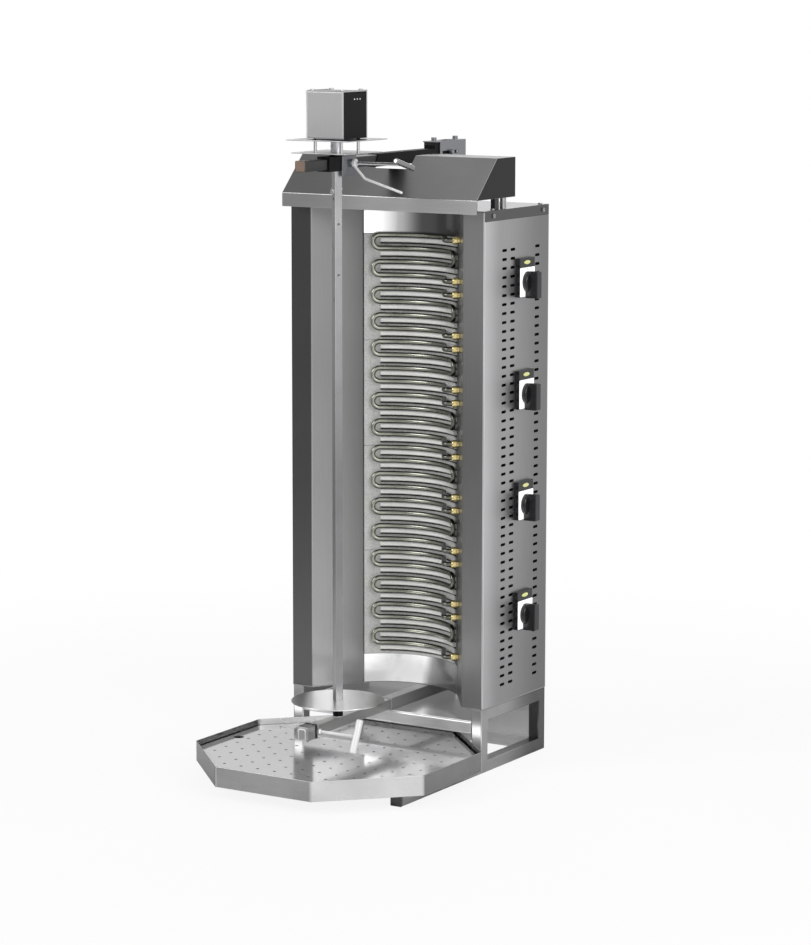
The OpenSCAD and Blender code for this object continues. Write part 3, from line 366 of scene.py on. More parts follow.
def makeFinish(name, colour, metal, rough, stretch=(1, 1, 1), fineness=900.0, grain=0.1, cloud=0.1,
               cloudSize=6.0, bump=0.1, coat=0.0, glow=0.0, sweeps=(), faces=(), specular=0.5):
    # Each row of sweeps or faces is an axis, where the change begins and ends along it, and the two tones.
    # These rows paint light and shade into the base colour, except the sleeve's two-tone sweep
    material = bpy.data.materials.new(name)
    material.use_nodes = True
    tree = material.node_tree
    shader = tree.nodes["Principled BSDF"]
    shader.inputs["Metallic"].default_value = metal
    shader.inputs["Coat Weight"].default_value = coat
    shader.inputs["Specular IOR Level"].default_value = specular
    look = addNode(tree, "ShaderNodeGroup", (-1200, 0), node_tree=grainGroup)
    for label, value in (("Stretch", stretch), ("Fineness", fineness), ("Cloud Size", cloudSize),
                         ("Grain", grain), ("Cloud", cloud)):
        look.inputs[label].default_value = value
    shade = look.outputs["Shade"]
    steps = [(sweepGroup, values) for values in sweeps] + [(paintedFaceShadeGroup, values) for values in faces]
    for i, (group, values) in enumerate(steps):
        step = addNode(tree, "ShaderNodeGroup", (-1200, 300 + 200 * i), node_tree=group)
        for label, value in zip(("Axis", "From", "To", "Low", "High"), values):
            step.inputs[label].default_value = value
        times = addNode(tree, "ShaderNodeMath", (-900 + 40 * i, 300), operation="MULTIPLY")
        join(tree, shade, times.inputs[0])
        join(tree, step.outputs["Shade"], times.inputs[1])
        shade = times.outputs[0]
    cap = addNode(tree, "ShaderNodeMath", (-700, 350), operation="MINIMUM")
    cap.inputs[1].default_value = 1 / max(colour)
    join(tree, shade, cap.inputs[0])
    tint = addNode(tree, "ShaderNodeVectorMath", (-500, 200), operation="SCALE")
    tint.inputs[0].default_value = colour
    join(tree, cap.outputs[0], tint.inputs["Scale"])
    join(tree, tint.outputs[0], shader.inputs["Base Color"])
    spread = addNode(tree, "ShaderNodeMapRange", (-600, 0))
    spread.inputs["To Min"].default_value = rough - roughSpread / 2
    spread.inputs["To Max"].default_value = rough + roughSpread / 2
    join(tree, look.outputs["Cloud"], spread.inputs["Value"])
    join(tree, spread.outputs["Result"], shader.inputs["Roughness"])
    if bump:
        dent = addNode(tree, "ShaderNodeBump", (-600, -200))
        dent.inputs["Strength"].default_value = bump
        dent.inputs["Distance"].default_value = bumpDistance
        join(tree, look.outputs["Height"], dent.inputs["Height"])
        join(tree, dent.outputs["Normal"], shader.inputs["Normal"])
    # Glow: the surface gives off its own colour. This is painted light on every finish except the pilot
    # lamp lenses
    if glow:
        join(tree, tint.outputs[0], shader.inputs["Emission Color"])
        shader.inputs["Emission Strength"].default_value = glow
    return material


acrossX, acrossY, acrossZ = (1, 0, 0), (0, 1, 0), (0, 0, 1)
under, leftFront, rightFront = (0, 0, -1), (-0.7071, -0.7071, 0), (0.7071, -0.7071, 0)
alongX, alongY, alongZ = (0.02, 1, 1), (1, 0.02, 1), (1, 1, 0.02)
# Sideways direction across the disc as the camera sees it, along which the disc's painted sheen runs
widthOfDisc = (0.8507, 0.5257, 0)
finishes = {
    # Painted light and shade: darker towards the back and at the very front, lighter on the tops
    "tube": makeFinish("satinTube", (0.44, 0.44, 0.44), 1, 0.34, alongY, grain=0.3, cloud=0.5,
                       cloudSize=14, sweeps=[(acrossY, 0.12, 0.24, 1.0, 0.32),
                                             (acrossY, -0.178, -0.172, 0.3, 1.0)],
                       faces=[(acrossZ, 0.6, 0.95, 1.0, 1.4)]),
    # Painted shade on the faces turned towards +X
    "armTube": makeFinish("armTube", (0.2, 0.2, 0.2), 1, 0.36, alongY, grain=0.25, cloud=0.3,
                          faces=[(acrossX, 0.6, 0.95, 1.0, 0.5)]),
    # The glow is painted light, and the faces turned towards +X get painted shade
    "lowerArm": makeFinish("lowerArmSteel", (0.5, 0.5, 0.49), 1, 0.34, alongY, grain=0.3, cloud=0.4,
                           cloudSize=20, glow=0.22, faces=[(acrossX, 0.6, 0.95, 1.0, 0.62)]),
    "collar": makeFinish("collarSteel", (0.42, 0.42, 0.42), 1, 0.3, alongY, grain=0.3, cloud=0.4,
                         cloudSize=40),
    # Painted light and shade: the outer flare past x = -0.1445 m darker, lighter lower down, and a painted
    # reflection on the faces turned to the front and a little right
    "leftPillar": makeFinish(
        "leftPillarSteel", (0.42, 0.42, 0.42), 1, 0.3, alongZ, grain=0.2, cloud=0.14, cloudSize=3,
        sweeps=[(acrossX, -0.1445, -0.1425, 0.33, 1.0), (acrossZ, 0.2, 0.85, 1.2, 0.9)],
        faces=[((0.35, -0.94, 0), 0.985, 0.998, 1.0, 1.3)]),
    # Painted light: lighter higher up, and a painted highlight on the faces turned front-right, at the
    # rounded outer corner
    "rightPillar": makeFinish(
        "rightPillarSteel", (0.42, 0.42, 0.42), 1, 0.3, alongZ, grain=0.2, cloud=0.14, cloudSize=3,
        sweeps=[(acrossZ, 0.5, 0.85, 0.68, 1.05)], faces=[(rightFront, 0.88, 0.97, 1.0, 3.0)]),
    "leftSide": makeFinish("leftSideSteel", (0.42, 0.42, 0.43), 1, 0.34, alongZ, grain=0.2, cloud=0.12,
                           cloudSize=3),
    # A lighter copy of the side sheet steel, as painted light: brighter towards the front, with a painted
    # highlight line along the front edge, and darker lower down
    "rightSide": makeFinish(
        "rightSideSteel", (0.66, 0.66, 0.67), 1, 0.34, alongZ, grain=0.2, cloud=0.16, cloudSize=3,
        sweeps=[(acrossY, 0.065, 0.12, 1.0, 0.66), (acrossY, 0.12, 0.26, 1.0, 0.62),
                (acrossZ, 0.18, 0.5, 0.84, 1.0), (acrossY, 0.0682, 0.0686, 1.9, 1.0)]),
    "casing": makeFinish("brushedCasing", (0.42, 0.42, 0.43), 1, 0.36, alongZ, grain=0.22, cloud=0.12,
                         cloudSize=3),
    # Painted shade on the faces turned towards +X
    "topCover": makeFinish("topCoverSteel", (0.42, 0.42, 0.43), 1, 0.34, alongX, grain=0.2, cloud=0.2,
                           faces=[(acrossX, 0.5, 0.9, 1.0, 0.32)]),
    # Painted light and shade: lighter towards +X, the +X cheek almost black, the top and the front slope
    # darker
    "canopy": makeFinish(
        "canopySteel", (0.46, 0.46, 0.46), 1, 0.32, alongX, grain=0.2, cloud=0.25, cloudSize=9,
        sweeps=[(acrossX, -0.18, 0.15, 1.05, 1.75)],
        faces=[(acrossX, 0.6, 0.95, 1.0, 0.05), (acrossZ, 0.8, 0.99, 1.0, 0.34),
               ((0, -0.84, 0.54), 0.9, 0.99, 1.0, 0.62)]),
    # Painted reflections: light and dark bands across and down the sheet. The glow is painted light too
    "reflector": makeFinish(
        "reflectorSheet", (0.96, 0.96, 0.96), 1, 0.16, alongX, grain=0.06, bump=0.03, cloud=0.1,
        sweeps=[(acrossX, -0.07, 0.0, 1.0, 0.11), (acrossX, 0.0, 0.08, 1.0, 0.5),
                (acrossZ, 0.15, 0.8, 10.0, 1.0), (acrossZ, 0.884, 0.892, 1.0, 0.22),
                ((1, 0, -0.2), -0.03, -0.005, 1.0, 0.3)],
        glow=0.3),
    # The glow is painted light
    "deck": makeFinish("polishedDeck", (0.7, 0.7, 0.7), 1, 0.14, alongX, grain=0.08, bump=0.03, glow=0.16),
    # The glow is painted light
    "backPanel": makeFinish("backPanelSteel", (0.6, 0.6, 0.6), 1, 0.3, alongZ, grain=0.15, cloud=0.2,
                            glow=0.28),
    # A lighter copy of the tube finish, with a glow: painted light
    "crossRail": makeFinish("crossRailSteel", (0.66, 0.66, 0.66), 1, 0.34, alongX, grain=0.3, cloud=0.5,
                            cloudSize=14, glow=0.1),
    # Darker past x = 0.072 m: painted shade at the right end of the wall, behind the glands
    "board": makeFinish("fibreBoard", (0.7, 0.7, 0.68), 0, 0.85, fineness=380, grain=0.9, cloud=0.3,
                        cloudSize=30, bump=0.5, sweeps=[(acrossX, 0.072, 0.084, 1.0, 0.22)]),
    # The glow is painted light, and darker towards the right is painted shade
    "rib": makeFinish("ribCeramic", (0.95, 0.95, 0.92), 0, 0.5, fineness=260, grain=0.3, cloud=0.4,
                      cloudSize=30, bump=0.3, glow=0.12, sweeps=[(acrossX, 0.02, 0.08, 1.0, 0.6)]),
    # Dark strips that paint shadow: under and over each rib on the heater wall, and in a groove on the
    # collar
    "shadeStrip": makeFinish("paintedShadeStrip", (0.035, 0.037, 0.028), 0, 0.8, fineness=300, grain=0.5, bump=0.3),
    # Painted shade: darker towards the right end, and dark along the tops and undersides of the tubes
    "heaterTube": makeFinish(
        "heatTube", (0.46, 0.47, 0.4), 1, 0.28, fineness=160, grain=0.4, cloud=0.7, cloudSize=18,
        sweeps=[(acrossX, 0.03, 0.08, 1.0, 0.5)],
        faces=[(acrossZ, 0.25, 0.8, 1.0, 0.1), (under, 0.2, 0.75, 1.0, 0.08)]),
    # Painted shade on the tops and undersides of the glands
    "brass": makeFinish("brassGland", (1.0, 0.84, 0.4), 1, 0.24, fineness=300, grain=0.15, cloud=0.2,
                        cloudSize=60, faces=[(under, 0.3, 0.9, 1.0, 0.35), (acrossZ, 0.6, 1.0, 1.0, 0.5)]),
    "blackPlastic": makeFinish("blackPlastic", (0.012, 0.012, 0.014), 0, 0.22, fineness=1500, grain=0.2,
                               bump=0.12),
    # The lens glows as a lit pilot lamp; darker towards its rim is painted shade
    "lamp": makeFinish("lampLens", (0.74, 0.76, 0.3), 0, 0.2, fineness=400, grain=0.1, coat=0.3, glow=0.12,
                       faces=[(acrossX, 0.45, 0.9, 0.18, 1.0)]),
    # The glow is painted light on the white label
    "label": makeFinish("labelPlate", (0.94, 0.94, 0.94), 0, 0.35, fineness=900, grain=0.05, cloud=0.04,
                        bump=0.02, glow=0.6),
    "print": makeFinish("printInk", (0.05, 0.05, 0.06), 0, 0.5, fineness=900, grain=0.1, bump=0),
    "palePlastic": makeFinish("palePlastic", (0.8, 0.78, 0.7), 0, 0.5, fineness=800, grain=0.1),
    "bracket": makeFinish("bracketSteel", (0.3, 0.31, 0.33), 1, 0.34, alongY, grain=0.2, cloud=0.3),
    "blackMetal": makeFinish("blackPaint", (0.007, 0.007, 0.008), 0, 0.45, fineness=700, grain=0.3,
                             bump=0.25, specular=0.14),
    # Two-tone paint: grey below z = 0.3 m, black above; painted shade on the faces turned towards +X
    "sleeve": makeFinish("sleevePaint", (0.45, 0.45, 0.45), 0, 0.45, fineness=700, grain=0.3, bump=0.25,
                         specular=0.14, sweeps=[(acrossZ, 0.3, 0.5, 1.0, 0.016)],
                         faces=[(acrossX, 0.6, 0.95, 1.0, 0.5)]),
    "plug": makeFinish("brownPlug", (0.24, 0.17, 0.13), 0, 0.6, fineness=500, grain=0.3, cloud=0.4,
                       cloudSize=60),
    "brightRod": makeFinish("brightRod", (0.75, 0.75, 0.75), 1, 0.2, fineness=400, grain=0.06, bump=0.03),
    "greyRod": makeFinish("greyRod", (0.5, 0.5, 0.5), 1, 0.24, fineness=400, grain=0.1, bump=0.03,
                          sweeps=[(acrossX, 0.1, 0.104, 1.7, 0.7)]),
    "whiteRod": makeFinish("zincRod", (0.9, 0.9, 0.9), 0.2, 0.3, fineness=400, grain=0.08, bump=0.03),
    # Painted shade on the tops
    "brightSheet": makeFinish("brightSheet", (0.62, 0.62, 0.63), 1, 0.22, alongX, grain=0.12, cloud=0.15,
                              faces=[(acrossZ, 0.8, 0.99, 1.0, 0.6)]),
    # Painted light and shade by where each face looks: tops darker, front-left faces lighter, front-right
    # faces much lighter
    "motorCover": makeFinish("motorCoverSheet", (0.46, 0.46, 0.465), 0.4, 0.4, alongZ, grain=0.12,
                             cloud=0.1, faces=[(acrossZ, 0.8, 0.99, 1.0, 0.5),
                                               (leftFront, 0.6, 0.8, 1.0, 1.25),
                                               (rightFront, 0.72, 0.85, 1.0, 1.9)]),
    "turnedMetal": makeFinish("turnedMetal", (0.76, 0.77, 0.8), 1, 0.22, (1, 1, 8), fineness=700,
                              grain=0.1),
    "gearbox": makeFinish("castGearbox", (0.3, 0.3, 0.31), 1, 0.55, fineness=300, grain=0.3, bump=0.4),
    # Lighter higher up: painted light
    "spitBar": makeFinish("spitSteel", (0.5, 0.5, 0.51), 1, 0.26, alongZ, grain=0.15, cloud=0.3,
                          cloudSize=12, sweeps=[(acrossZ, 0.45, 0.75, 0.75, 1.2)]),
    # Painted sheen: bright across the middle of the disc, darker towards its two sides
    "disc": makeFinish("discSteel", (0.95, 0.95, 0.95), 1, 0.3, alongX, grain=0.12, cloud=0.2,
                       cloudSize=12, sweeps=[(widthOfDisc, -0.1, -0.085, 0.42, 1.0),
                                             (widthOfDisc, -0.005, 0.025, 1.0, 0.5)]),
    # Painted light and shade on each wall by where it faces: front-left dark, front-right light, the front
    # and +X faces darker
    "tray": makeFinish("traySteel", (0.6, 0.6, 0.6), 1, 0.27, alongX, grain=0.3, cloud=0.5, cloudSize=12,
                       faces=[(leftFront, 0.9, 0.99, 1.0, 0.24), (rightFront, 0.9, 0.99, 1.0, 1.3),
                              ((0, -1, 0), 0.95, 0.99, 1.0, 0.62), (acrossX, 0.95, 0.99, 1.0, 0.42)]),
    "plate": makeFinish("plateSteel", (0.86, 0.86, 0.87), 0.76, 0.1, alongX, grain=0.05, cloud=0.06,
                        bump=0.02),
}
slotFinish = {
    "frame_tube": "tube", "casing": "casing", "deck_sheet": "deck", "board": "board",
    "heater_tube": "heaterTube", "brass": "brass", "black_plastic": "blackPlastic", "lamp_lens": "lamp",
    "pale_plastic": "palePlastic", "bracket": "bracket", "black_metal": "blackMetal", "plug": "plug",
    "bright_rod": "brightRod", "bright_sheet": "brightSheet", "turned_metal": "turnedMetal",
    "gearbox": "gearbox", "spit_steel": "spitBar", "tray_steel": "tray", "plate_steel": "plate",
}
nodeFinish = {
    "left_pillar": "leftPillar", "right_pillar": "rightPillar", "left_side_cover": "leftSide",
    "right_side_cover": "rightSide", "top_cover": "topCover", "canopy": "canopy",
    "reflectors": "reflector", "base_back_panel": "backPanel", "base_cross_rails": "crossRail",
    "arm_sleeves": "sleeve", "upper_arm": "armTube", "lower_arm": "lowerArm", "lower_collar": "collar",
    "upper_clamp_screw": "greyRod", "lower_clamp_screw": "whiteRod", "lock_lever": "whiteRod",
    "motor_cover": "motorCover", "spit_disc": "disc",
}


def finishOf(node):
    return finishes[nodeFinish.get(node, slotFinish[slotOf[node]])]


for nodeName, node in nodes.items():
    node.data.materials.clear()
    node.data.materials.append(finishOf(nodeName))
print("finishes made")


# Rounded copies of CAD nodes: long convex edges get the outer radius, the others the small rim radius.
# Upright edges may have a radius of their own (corner), and so may long hollow ones (folds). Edges under
# sharp degrees get none; merge, long and longFold are in metres, as the meshes are.

softSpec = {
    "base_left_frame": {"round": 2.2, "rim": 0.4},
    "base_right_frame": {"round": 2.2, "rim": 0.4},
    "base_cross_rails": {"round": 2.2, "rim": 0.4},
    "upper_arm": {"round": 1.6, "rim": 0.4},
    "lower_arm": {"round": 1.6, "rim": 0.4},
    "arm_sleeves": {"round": 1.4, "rim": 0.4},
    "lower_collar": {"round": 1.2, "rim": 0.8, "long": 0.018},
    "bearing_block": {"round": 1.0, "rim": 0.7},
    "left_pillar": {"round": 1.4, "rim": 0.3, "folds": 1.0},
    "right_pillar": {"round": 1.4, "rim": 0.3, "folds": 1.0},
    "top_cover": {"round": 0.7, "rim": 0.25},
    "canopy": {"round": 0.6, "rim": 0.25, "folds": 1.0},
    "base_deck": {"round": 0.5, "rim": 0.3},
    "switch_bezels": {"round": 0.9, "rim": 0.5},
    "rear_bracket": {"round": 0.5, "rim": 0.4},
    "clamp_plate": {"round": 0.5, "rim": 0.4},
    "heat_plates": {"round": 0.4, "rim": 0.3},
    "arm_plug": {"round": 2.4, "rim": 2.4, "long": 0.001},
    "canopy_blocks": {"round": 0.8, "rim": 0.8},
    "drip_tray": {"round": 0.5, "rim": 0.5, "corner": 4.0},
    "drip_plate": {"round": 0.9, "rim": 0.0, "corner": 4.0},
    "spit_bar": {"round": 0.8, "rim": 0.3},
    "spit_disc": {"round": 0.4, "rim": 0.6},
    "disc_hub": {"round": 0.8, "rim": 0.8},
    "heater_glands": {"round": 0.9, "rim": 0.9},
    "upper_clamp_screw": {"round": 1.6, "rim": 1.6},
    "lower_clamp_screw": {"round": 1.8, "rim": 1.8},
    "cable_gland": {"round": 0.9, "rim": 0.9},
    "fasteners": {"round": 0.5, "rim": 0.5},
    "motor_cover": {"round": 2.6, "rim": 0.4},
    "terminal_block": {"round": 0.6, "rim": 0.5},
    **{f"knob_{number}": {"round": 1.3, "rim": 1.0} for number in range(1, 5)},
}
edgeSpec = {"merge": 2e-6, "flat": 1, "sharp": 28, "upright": 0.99, "long": 0.03, "longFold": 0.1,
            "segments": 3}


def edgeRound(edge, spec):
    # Radius in millimetres that this edge gets
    if len(edge.link_faces) != 2 or edge.calc_face_angle(0) < math.radians(edgeSpec["sharp"]):
        return 0
    upright = abs((edge.verts[0].co - edge.verts[1].co).normalized().z) > edgeSpec["upright"]
    if upright and "corner" in spec:
        return spec["corner"]
    if not edge.is_convex:
        return spec.get("folds", 0) if edge.calc_length() > edgeSpec["longFold"] else 0
    return spec["round"] if edge.calc_length() > spec.get("long", edgeSpec["long"]) else spec["rim"]


notchSpec = {"halfWidth": 32.0, "edge": 958.9, "raised": 966.8, "lean": 0.644, "slack": 0.1}


def raiseNotch(bm, spec):
    # The folded rim under the arm stands a little above the cut of the CAD canopy, along the slope
    rise = spec["raised"] - spec["edge"]
    for vert in bm.verts:
        between = abs(vert.co.x) < (spec["halfWidth"] + spec["slack"]) * mm
        if between and abs(vert.co.z - spec["edge"] * mm) < spec["slack"] * mm:
            vert.co.z = spec["raised"] * mm
            vert.co.y += rise * spec["lean"] * mm


def softCopy(nodeName, spec):
    # A bevelled copy that replaces the node, with the faces that lie flat to each other made one
    bm = bmesh.new()
    bm.from_mesh(nodes[nodeName].data)
    bmesh.ops.remove_doubles(bm, verts=bm.verts, dist=edgeSpec["merge"])
    if nodeName == "canopy":
        raiseNotch(bm, notchSpec)
    flat = math.radians(edgeSpec["flat"])
    bmesh.ops.dissolve_limit(bm, angle_limit=flat, verts=bm.verts, edges=bm.edges)
    widest = max(spec["round"], spec["rim"], spec.get("corner", 0), spec.get("folds", 0))
    weight = bm.edges.layers.float.new("bevel_weight_edge")
    for edge in bm.edges:
        edge[weight] = edgeRound(edge, spec) / widest
    mesh = bpy.data.meshes.new(nodeName)
    bm.to_mesh(mesh)
    bm.free()
    piece = newObject(nodeName + ".rounded", mesh)
    bevel = piece.modifiers.new("edges", "BEVEL")
    bevel.width = widest * mm
    bevel.segments = edgeSpec["segments"]
    bevel.limit_method = "WEIGHT"
    bevel.use_clamp_overlap = False
    shadeByAngle(mesh, edgeSpec["sharp"])
    piece.modifiers.new("shading", "WEIGHTED_NORMAL").keep_sharp = True
    applyModifiers(piece)
    finishPiece(piece, bodyOf[nodeName], slotOf[nodeName], finishOf(nodeName), nodeName)


for softName, softValues in softSpec.items():
    softCopy(softName, softValues)
print("rounded pieces made")


# Pieces that the CAD leaves to this script


def runTree(name, tree, values):
    # A plain mesh object made by the tree, with its inputs set by identifier
    piece = newObject(name, bpy.data.meshes.new(name))
    modifier = piece.modifiers.new("build", "NODES")
    modifier.node_group = tree
    for item in tree.interface.items_tree:
        if item.in_out == "INPUT":
            modifier[item.identifier] = values[item.name]
    applyModifiers(piece, 30)
    return piece


def makeArcTree():
    # Curved bars in a row down the heater wall
    tree, start, end = newGroup(
        "wallBars",
        {"Radius": "Float", "Start": "Float", "Sweep": "Float", "Depth": "Float", "Height": "Float",
         "Edge": "Float", "Count": "Int", "First": "Vector", "Step": "Vector", "Material": "Material"},
        {"Geometry": "Geometry"}, "GeometryNodeTree",
    )
    arc = addNode(tree, "GeometryNodeCurveArc", (-600, 300), mode="RADIUS")
    arc.inputs["Resolution"].default_value = 40
    section = addNode(tree, "GeometryNodeCurvePrimitiveQuadrilateral", (-600, 0), mode="RECTANGLE")
    soften = addNode(tree, "GeometryNodeFilletCurve", (-400, 0))
    soften.mode = "POLY"
    soften.inputs["Count"].default_value = 4
    bar = addNode(tree, "GeometryNodeCurveToMesh", (-200, 200))
    bar.inputs["Fill Caps"].default_value = True
    line = addNode(tree, "GeometryNodeMeshLine", (-200, -200), mode="OFFSET")
    spread = addNode(tree, "GeometryNodeInstanceOnPoints", (100, 100))
    real = addNode(tree, "GeometryNodeRealizeInstances", (300, 100))
    paint = addNode(tree, "GeometryNodeSetMaterial", (500, 100))
    for label, target in (
        ("Radius", arc.inputs["Radius"]), ("Start", arc.inputs["Start Angle"]),
        ("Sweep", arc.inputs["Sweep Angle"]), ("Depth", section.inputs["Width"]),
        ("Height", section.inputs["Height"]), ("Edge", soften.inputs["Radius"]),
        ("Count", line.inputs["Count"]), ("First", line.inputs["Start Location"]),
        ("Step", line.inputs["Offset"]), ("Material", paint.inputs["Material"]),
    ):
        join(tree, start.outputs[label], target)
    join(tree, section.outputs[0], soften.inputs["Curve"])
    join(tree, arc.outputs["Curve"], bar.inputs["Curve"])
    join(tree, soften.outputs[0], bar.inputs["Profile Curve"])
    join(tree, line.outputs[0], spread.inputs["Points"])
    join(tree, bar.outputs[0], spread.inputs["Instance"])
    join(tree, spread.outputs[0], real.inputs[0])
    join(tree, real.outputs[0], paint.inputs["Geometry"])
    join(tree, paint.outputs[0], end.inputs["Geometry"])
    return tree


# Rows of bars under the runs of the heater tubes: ribs, and dark strips under and over each rib that are
# painted shadow; left and right are degrees off the wall's middle
wallSpec = {
    "radius": 121.97, "centreY": 58.48, "firstRun": 848.8, "drop": 9.0, "pitch": 21.797, "count": 32,
    "left": 34.6, "right": 43.1,
    "rows": {
        "boardRibs": {"stand": 5.3, "depth": 6.0, "height": 7.4, "lift": 0.0, "edge": 2.0,
                      "finish": "rib"},
        "lowerShadeStrips": {"stand": 2.2, "depth": 2.0, "height": 2.4, "lift": -5.2, "edge": 0.6,
                         "finish": "shadeStrip"},
        "upperShadeStrips": {"stand": 2.2, "depth": 2.0, "height": 1.2, "lift": 4.6, "edge": 0.4,
                         "finish": "shadeStrip"},
    },
}


def makeWallBars(spec):
    tree = makeArcTree()
    for name, row in spec["rows"].items():
        finish = finishes[row["finish"]]
        z = spec["firstRun"] - spec["drop"] + row["lift"]
        values = {
            "Radius": (spec["radius"] - row["stand"] + row["depth"] / 2) * mm,
            "Start": math.radians(90 - spec["right"]),
            "Sweep": math.radians(spec["left"] + spec["right"]),
            "Depth": row["depth"] * mm, "Height": row["height"] * mm, "Edge": row["edge"] * mm,
            "Count": spec["count"], "First": (0, spec["centreY"] * mm, z * mm),
            "Step": (0, 0, -spec["pitch"] * mm), "Material": finish,
        }
        finishPiece(runTree(name, tree, values), "machine", "board", finish)


makeWallBars(wallSpec)

switchSpec = {
    "heights": (782, 602, 422, 242), "y": 190.25, "face": 188.0,
    "labelHalfWidth": 23.4, "labelLow": -23.4, "labelHigh": 22.8, "labelThick": 0.15, "corner": 1.5,
    "lampHigh": 31.0, "lampHalfWidth": 10.0, "lampHalfHeight": 3.4, "lampDome": 1.2, "lampSink": 0.3,
}


def addPiece(name, build, body, slotName, finish, *replaced, smoothAngle=35):
    mesh = meshFrom(name, build, smoothAngle)
    finishPiece(newObject(name, mesh), body, slotName, finishes[finish], *replaced)


def addSides(bm, loops):
    # Faces between each loop of vertices and the next
    for low, high in zip(loops, loops[1:]):
        for i in range(len(low)):
            j = (i + 1) % len(low)
            bm.faces.new((low[i], low[j], high[j], high[i]))


def addPlate(bm, centre, halfWidth, halfHeight, thick, corner, cornerSteps=4):
    # Rounded plate in the YZ plane, facing +X
    outline = []
    for quarter, (sy, sz) in enumerate(((1, 1), (-1, 1), (-1, -1), (1, -1))):
        for i in range(cornerSteps + 1):
            turn = math.radians(90 * quarter + 90 / cornerSteps * i)
            outline.append((sy * (halfWidth - corner) + corner * math.cos(turn),
                            sz * (halfHeight - corner) + corner * math.sin(turn)))
    loops = [[bm.verts.new((Vector(centre) + Vector((x, y, z))) * mm) for y, z in outline]
             for x in (0, thick)]
    addSides(bm, loops)
    bm.faces.new(loops[1])
    bm.faces.new(loops[0][::-1])


def addDome(bm, centre, halfWidth, halfHeight, height, rows=6, sides=32):
    # Oval dome standing on the YZ plane, facing +X
    centre = Vector(centre)
    loops = []
    for k in range(rows):
        lift = math.pi / 2 * k / rows
        x, wide, high = height * math.sin(lift), halfWidth * math.cos(lift), halfHeight * math.cos(lift)
        loop = [Vector((x, wide * math.cos(turn), high * math.sin(turn)))
                for turn in (2 * math.pi * i / sides for i in range(sides))]
        loops.append([bm.verts.new((centre + corner) * mm) for corner in loop])
    top = bm.verts.new((centre + Vector((height, 0, 0))) * mm)
    addSides(bm, loops)
    for i in range(sides):
        bm.faces.new((loops[-1][i], loops[-1][(i + 1) % sides], top))
    bm.faces.new(loops[0][::-1])


def makeSwitchFaces(spec):
    middle = (spec["labelHigh"] + spec["labelLow"]) / 2
    half = (spec["labelHigh"] - spec["labelLow"]) / 2

    def labels(bm):
        for z in spec["heights"]:
            addPlate(bm, (spec["face"], spec["y"], z + middle), spec["labelHalfWidth"], half,
                     spec["labelThick"], spec["corner"])

    def lenses(bm):
        for z in spec["heights"]:
            addDome(bm, (spec["face"] - spec["lampSink"], spec["y"], z + spec["lampHigh"]),
                    spec["lampHalfWidth"], spec["lampHalfHeight"], spec["lampDome"])

    addPiece("switchLabels", labels, "machine", "black_plastic", "label")
    addPiece("lampLenses", lenses, "machine", "lamp_lens", "lamp", "pilot_lamps", smoothAngle=60)


makeSwitchFaces(switchSpec)

digitSpec = {"size": 5.5, "thick": 0.03, "radius": 20.0,
             "marks": (("0", 90), ("1", 155), ("2", 205), ("3", 25))}


def makeDigits(spec):
    # Dial numbers round each knob, as text made mesh
    bm = bmesh.new()
    for text, turn in spec["marks"]:
        curve = bpy.data.curves.new("digit" + text, "FONT")
        curve.body = text
        curve.size = spec["size"] * mm
        curve.extrude = spec["thick"] * mm
        curve.align_x = "CENTER"
        curve.align_y = "CENTER"
        holder = newObject("digit" + text, curve)
        graph = bpy.context.evaluated_depsgraph_get()
        mesh = bpy.data.meshes.new_from_object(holder.evaluated_get(graph), depsgraph=graph)
        bpy.data.objects.remove(holder)
        away = spec["radius"] * mm
        angle = math.radians(turn)
        for z in switchSpec["heights"]:
            place = Vector(((switchSpec["face"] + switchSpec["labelThick"]) * mm,
                            switchSpec["y"] * mm + away * math.cos(angle),
                            z * mm + away * math.sin(angle)))
            stand = Matrix(((0, 0, 1), (1, 0, 0), (0, 1, 0))).to_4x4()
            copy = mesh.copy()
            copy.transform(Matrix.Translation(place) @ stand)
            bm.from_mesh(copy)
    mesh = bpy.data.meshes.new("dialDigits")
    bm.to_mesh(mesh)
    bm.free()
    finishPiece(newObject("dialDigits", mesh), "machine", "black_plastic", finishes["print"])


makeDigits(digitSpec)
print("switch faces made")

sidePanelSpec = {
    "inset": 3.2, "stand": 0.25, "sink": 0.6, "corner": 1.5, "screwHeads": 3.9, "dots": 3,
    "dotStep": 8.0, "dotRadius": 1.5, "dotHeight": 0.7, "dotSink": 0.05, "dotDrop": 8.0, "dotShift": 6.0,
}


def makeMotorPanels(spec):
    # Dark panels on both sides of the motor cover, and the rivets of the right one
    low, high = (corner * 1000 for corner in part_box("motor_cover"))
    top = high.z - spec["screwHeads"]
    halfY = (high.y - low.y) / 2 - spec["inset"]
    halfZ = (top - low.z) / 2 - spec["inset"]
    y, z = (high.y + low.y) / 2, (top + low.z) / 2

    def panels(bm):
        for x in (high.x - spec["sink"], low.x - spec["stand"]):
            addPlate(bm, (x, y, z), halfY, halfZ, spec["sink"] + spec["stand"], spec["corner"])

    def rivets(bm):
        x = high.x + spec["stand"] - spec["dotSink"]
        for i in range(spec["dots"]):
            shift = spec["dotShift"] + (i - (spec["dots"] - 1) / 2) * spec["dotStep"]
            addDome(bm, (x, y + shift, z + halfZ - spec["dotDrop"]), spec["dotRadius"],
                    spec["dotRadius"], spec["dotHeight"], rows=4)

    addPiece("motorSidePanels", panels, "upper_carriage", "black_metal", "blackMetal")
    addPiece("motorSideRivets", rivets, "upper_carriage", "bright_rod", "brightRod", smoothAngle=60)


makeMotorPanels(sidePanelSpec)

# The nut is x, y, z, radius and height; a band is its y, width, stand and finish
collarSpec = {
    "nut": (14.4, -152.75, 93.3, 6.2, 4.5),
    "lip": {"half": 6.4, "low": 84.5, "high": 100.5, "y": -181.9, "bend": 2.5, "radius": 1.2},
    "bandCorner": 1.3,
    "bands": ((-157.5, 1.8, 0.25, "shadeStrip"), (-154.6, 1.6, 0.45, "brightRod")),
}


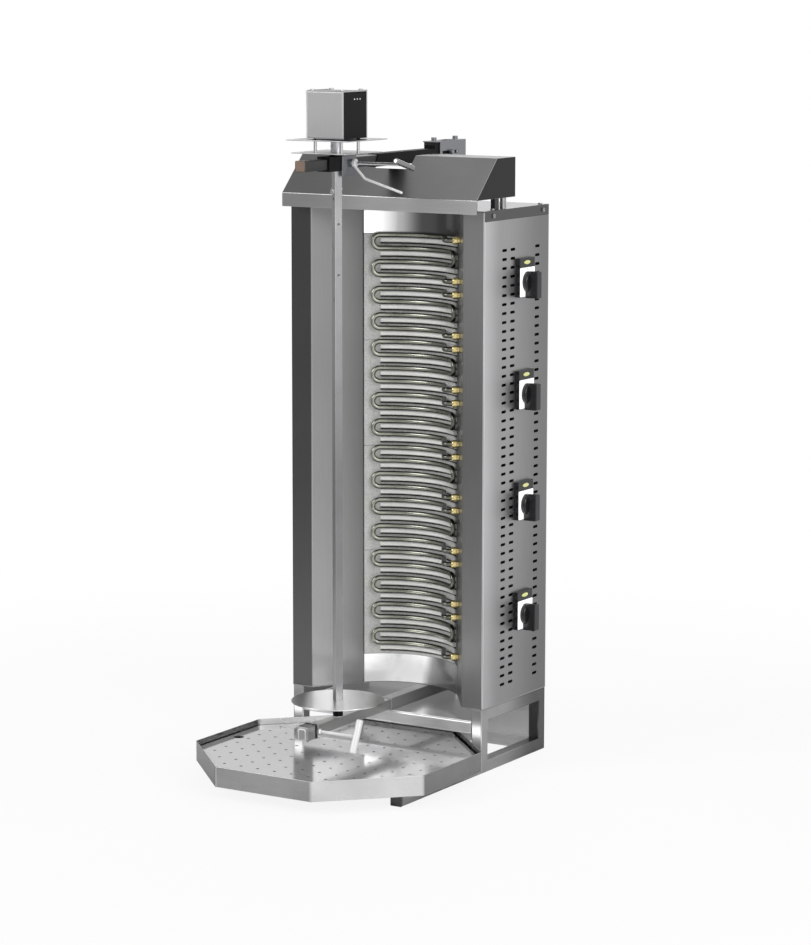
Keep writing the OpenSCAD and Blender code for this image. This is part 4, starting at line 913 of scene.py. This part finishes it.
def addTube(bm, path, radius, sides=12):
    # Round bead along a path of points in millimetres
    loops = []
    for i, point in enumerate(path):
        here = Vector(point)
        ahead = Vector(path[min(i + 1, len(path) - 1)]) - Vector(path[max(i - 1, 0)])
        turn = ahead.to_track_quat("Z", "Y")
        loop = [turn @ Vector((radius * math.cos(a), radius * math.sin(a), 0))
                for a in (2 * math.pi * k / sides for k in range(sides))]
        loops.append([bm.verts.new((here + corner) * mm) for corner in loop])
    addSides(bm, loops)
    bm.faces.new(loops[0][::-1])
    bm.faces.new(loops[-1])


def makeCollarTrim(spec):
    # Wire lip, domed nut and two bands round the front of the lower collar; the dark band is painted shade
    # standing for a groove
    low, high = (corner * 1000 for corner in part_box("lower_collar"))

    def lip(bm, steps=4):
        half, foot, top, y, bend, radius = spec["lip"].values()
        turns = [math.radians(90 / steps * k) for k in range(steps + 1)]
        path = [(-half, y, foot)]
        path += [(-half + bend - bend * math.cos(a), y, top - bend + bend * math.sin(a)) for a in turns]
        path += [(half - bend + bend * math.sin(a), y, top - bend + bend * math.cos(a)) for a in turns]
        path += [(half, y, foot)]
        addTube(bm, path, radius)

    def nut(bm):
        x, y, z, radius, height = spec["nut"]
        addDome(bm, (x, y, z), radius, radius, height)

    addPiece("collarLip", lip, "lower_carriage", "bright_rod", "whiteRod")
    addPiece("collarNut", nut, "lower_carriage", "bright_rod", "brightRod", smoothAngle=60)
    for y, width, stand, finish in spec["bands"]:
        def band(bm):
            bmesh.ops.create_cube(bm, size=1)
            side = high.z - low.z + 2 * stand
            for vert in bm.verts:
                vert.co = Vector((vert.co.x * side, y + vert.co.y * width,
                                  (high.z + low.z) / 2 + vert.co.z * side)) * mm
            lengthwise = [e for e in bm.edges if abs((e.verts[0].co - e.verts[1].co).y) > 1e-5]
            bmesh.ops.bevel(bm, geom=lengthwise, offset=spec["bandCorner"] * mm, segments=3,
                            affect="EDGES", profile=0.5)
        addPiece("collarBand" + finish.capitalize(), band, "lower_carriage", "bright_rod", finish)


makeCollarTrim(collarSpec)
print("trim made")
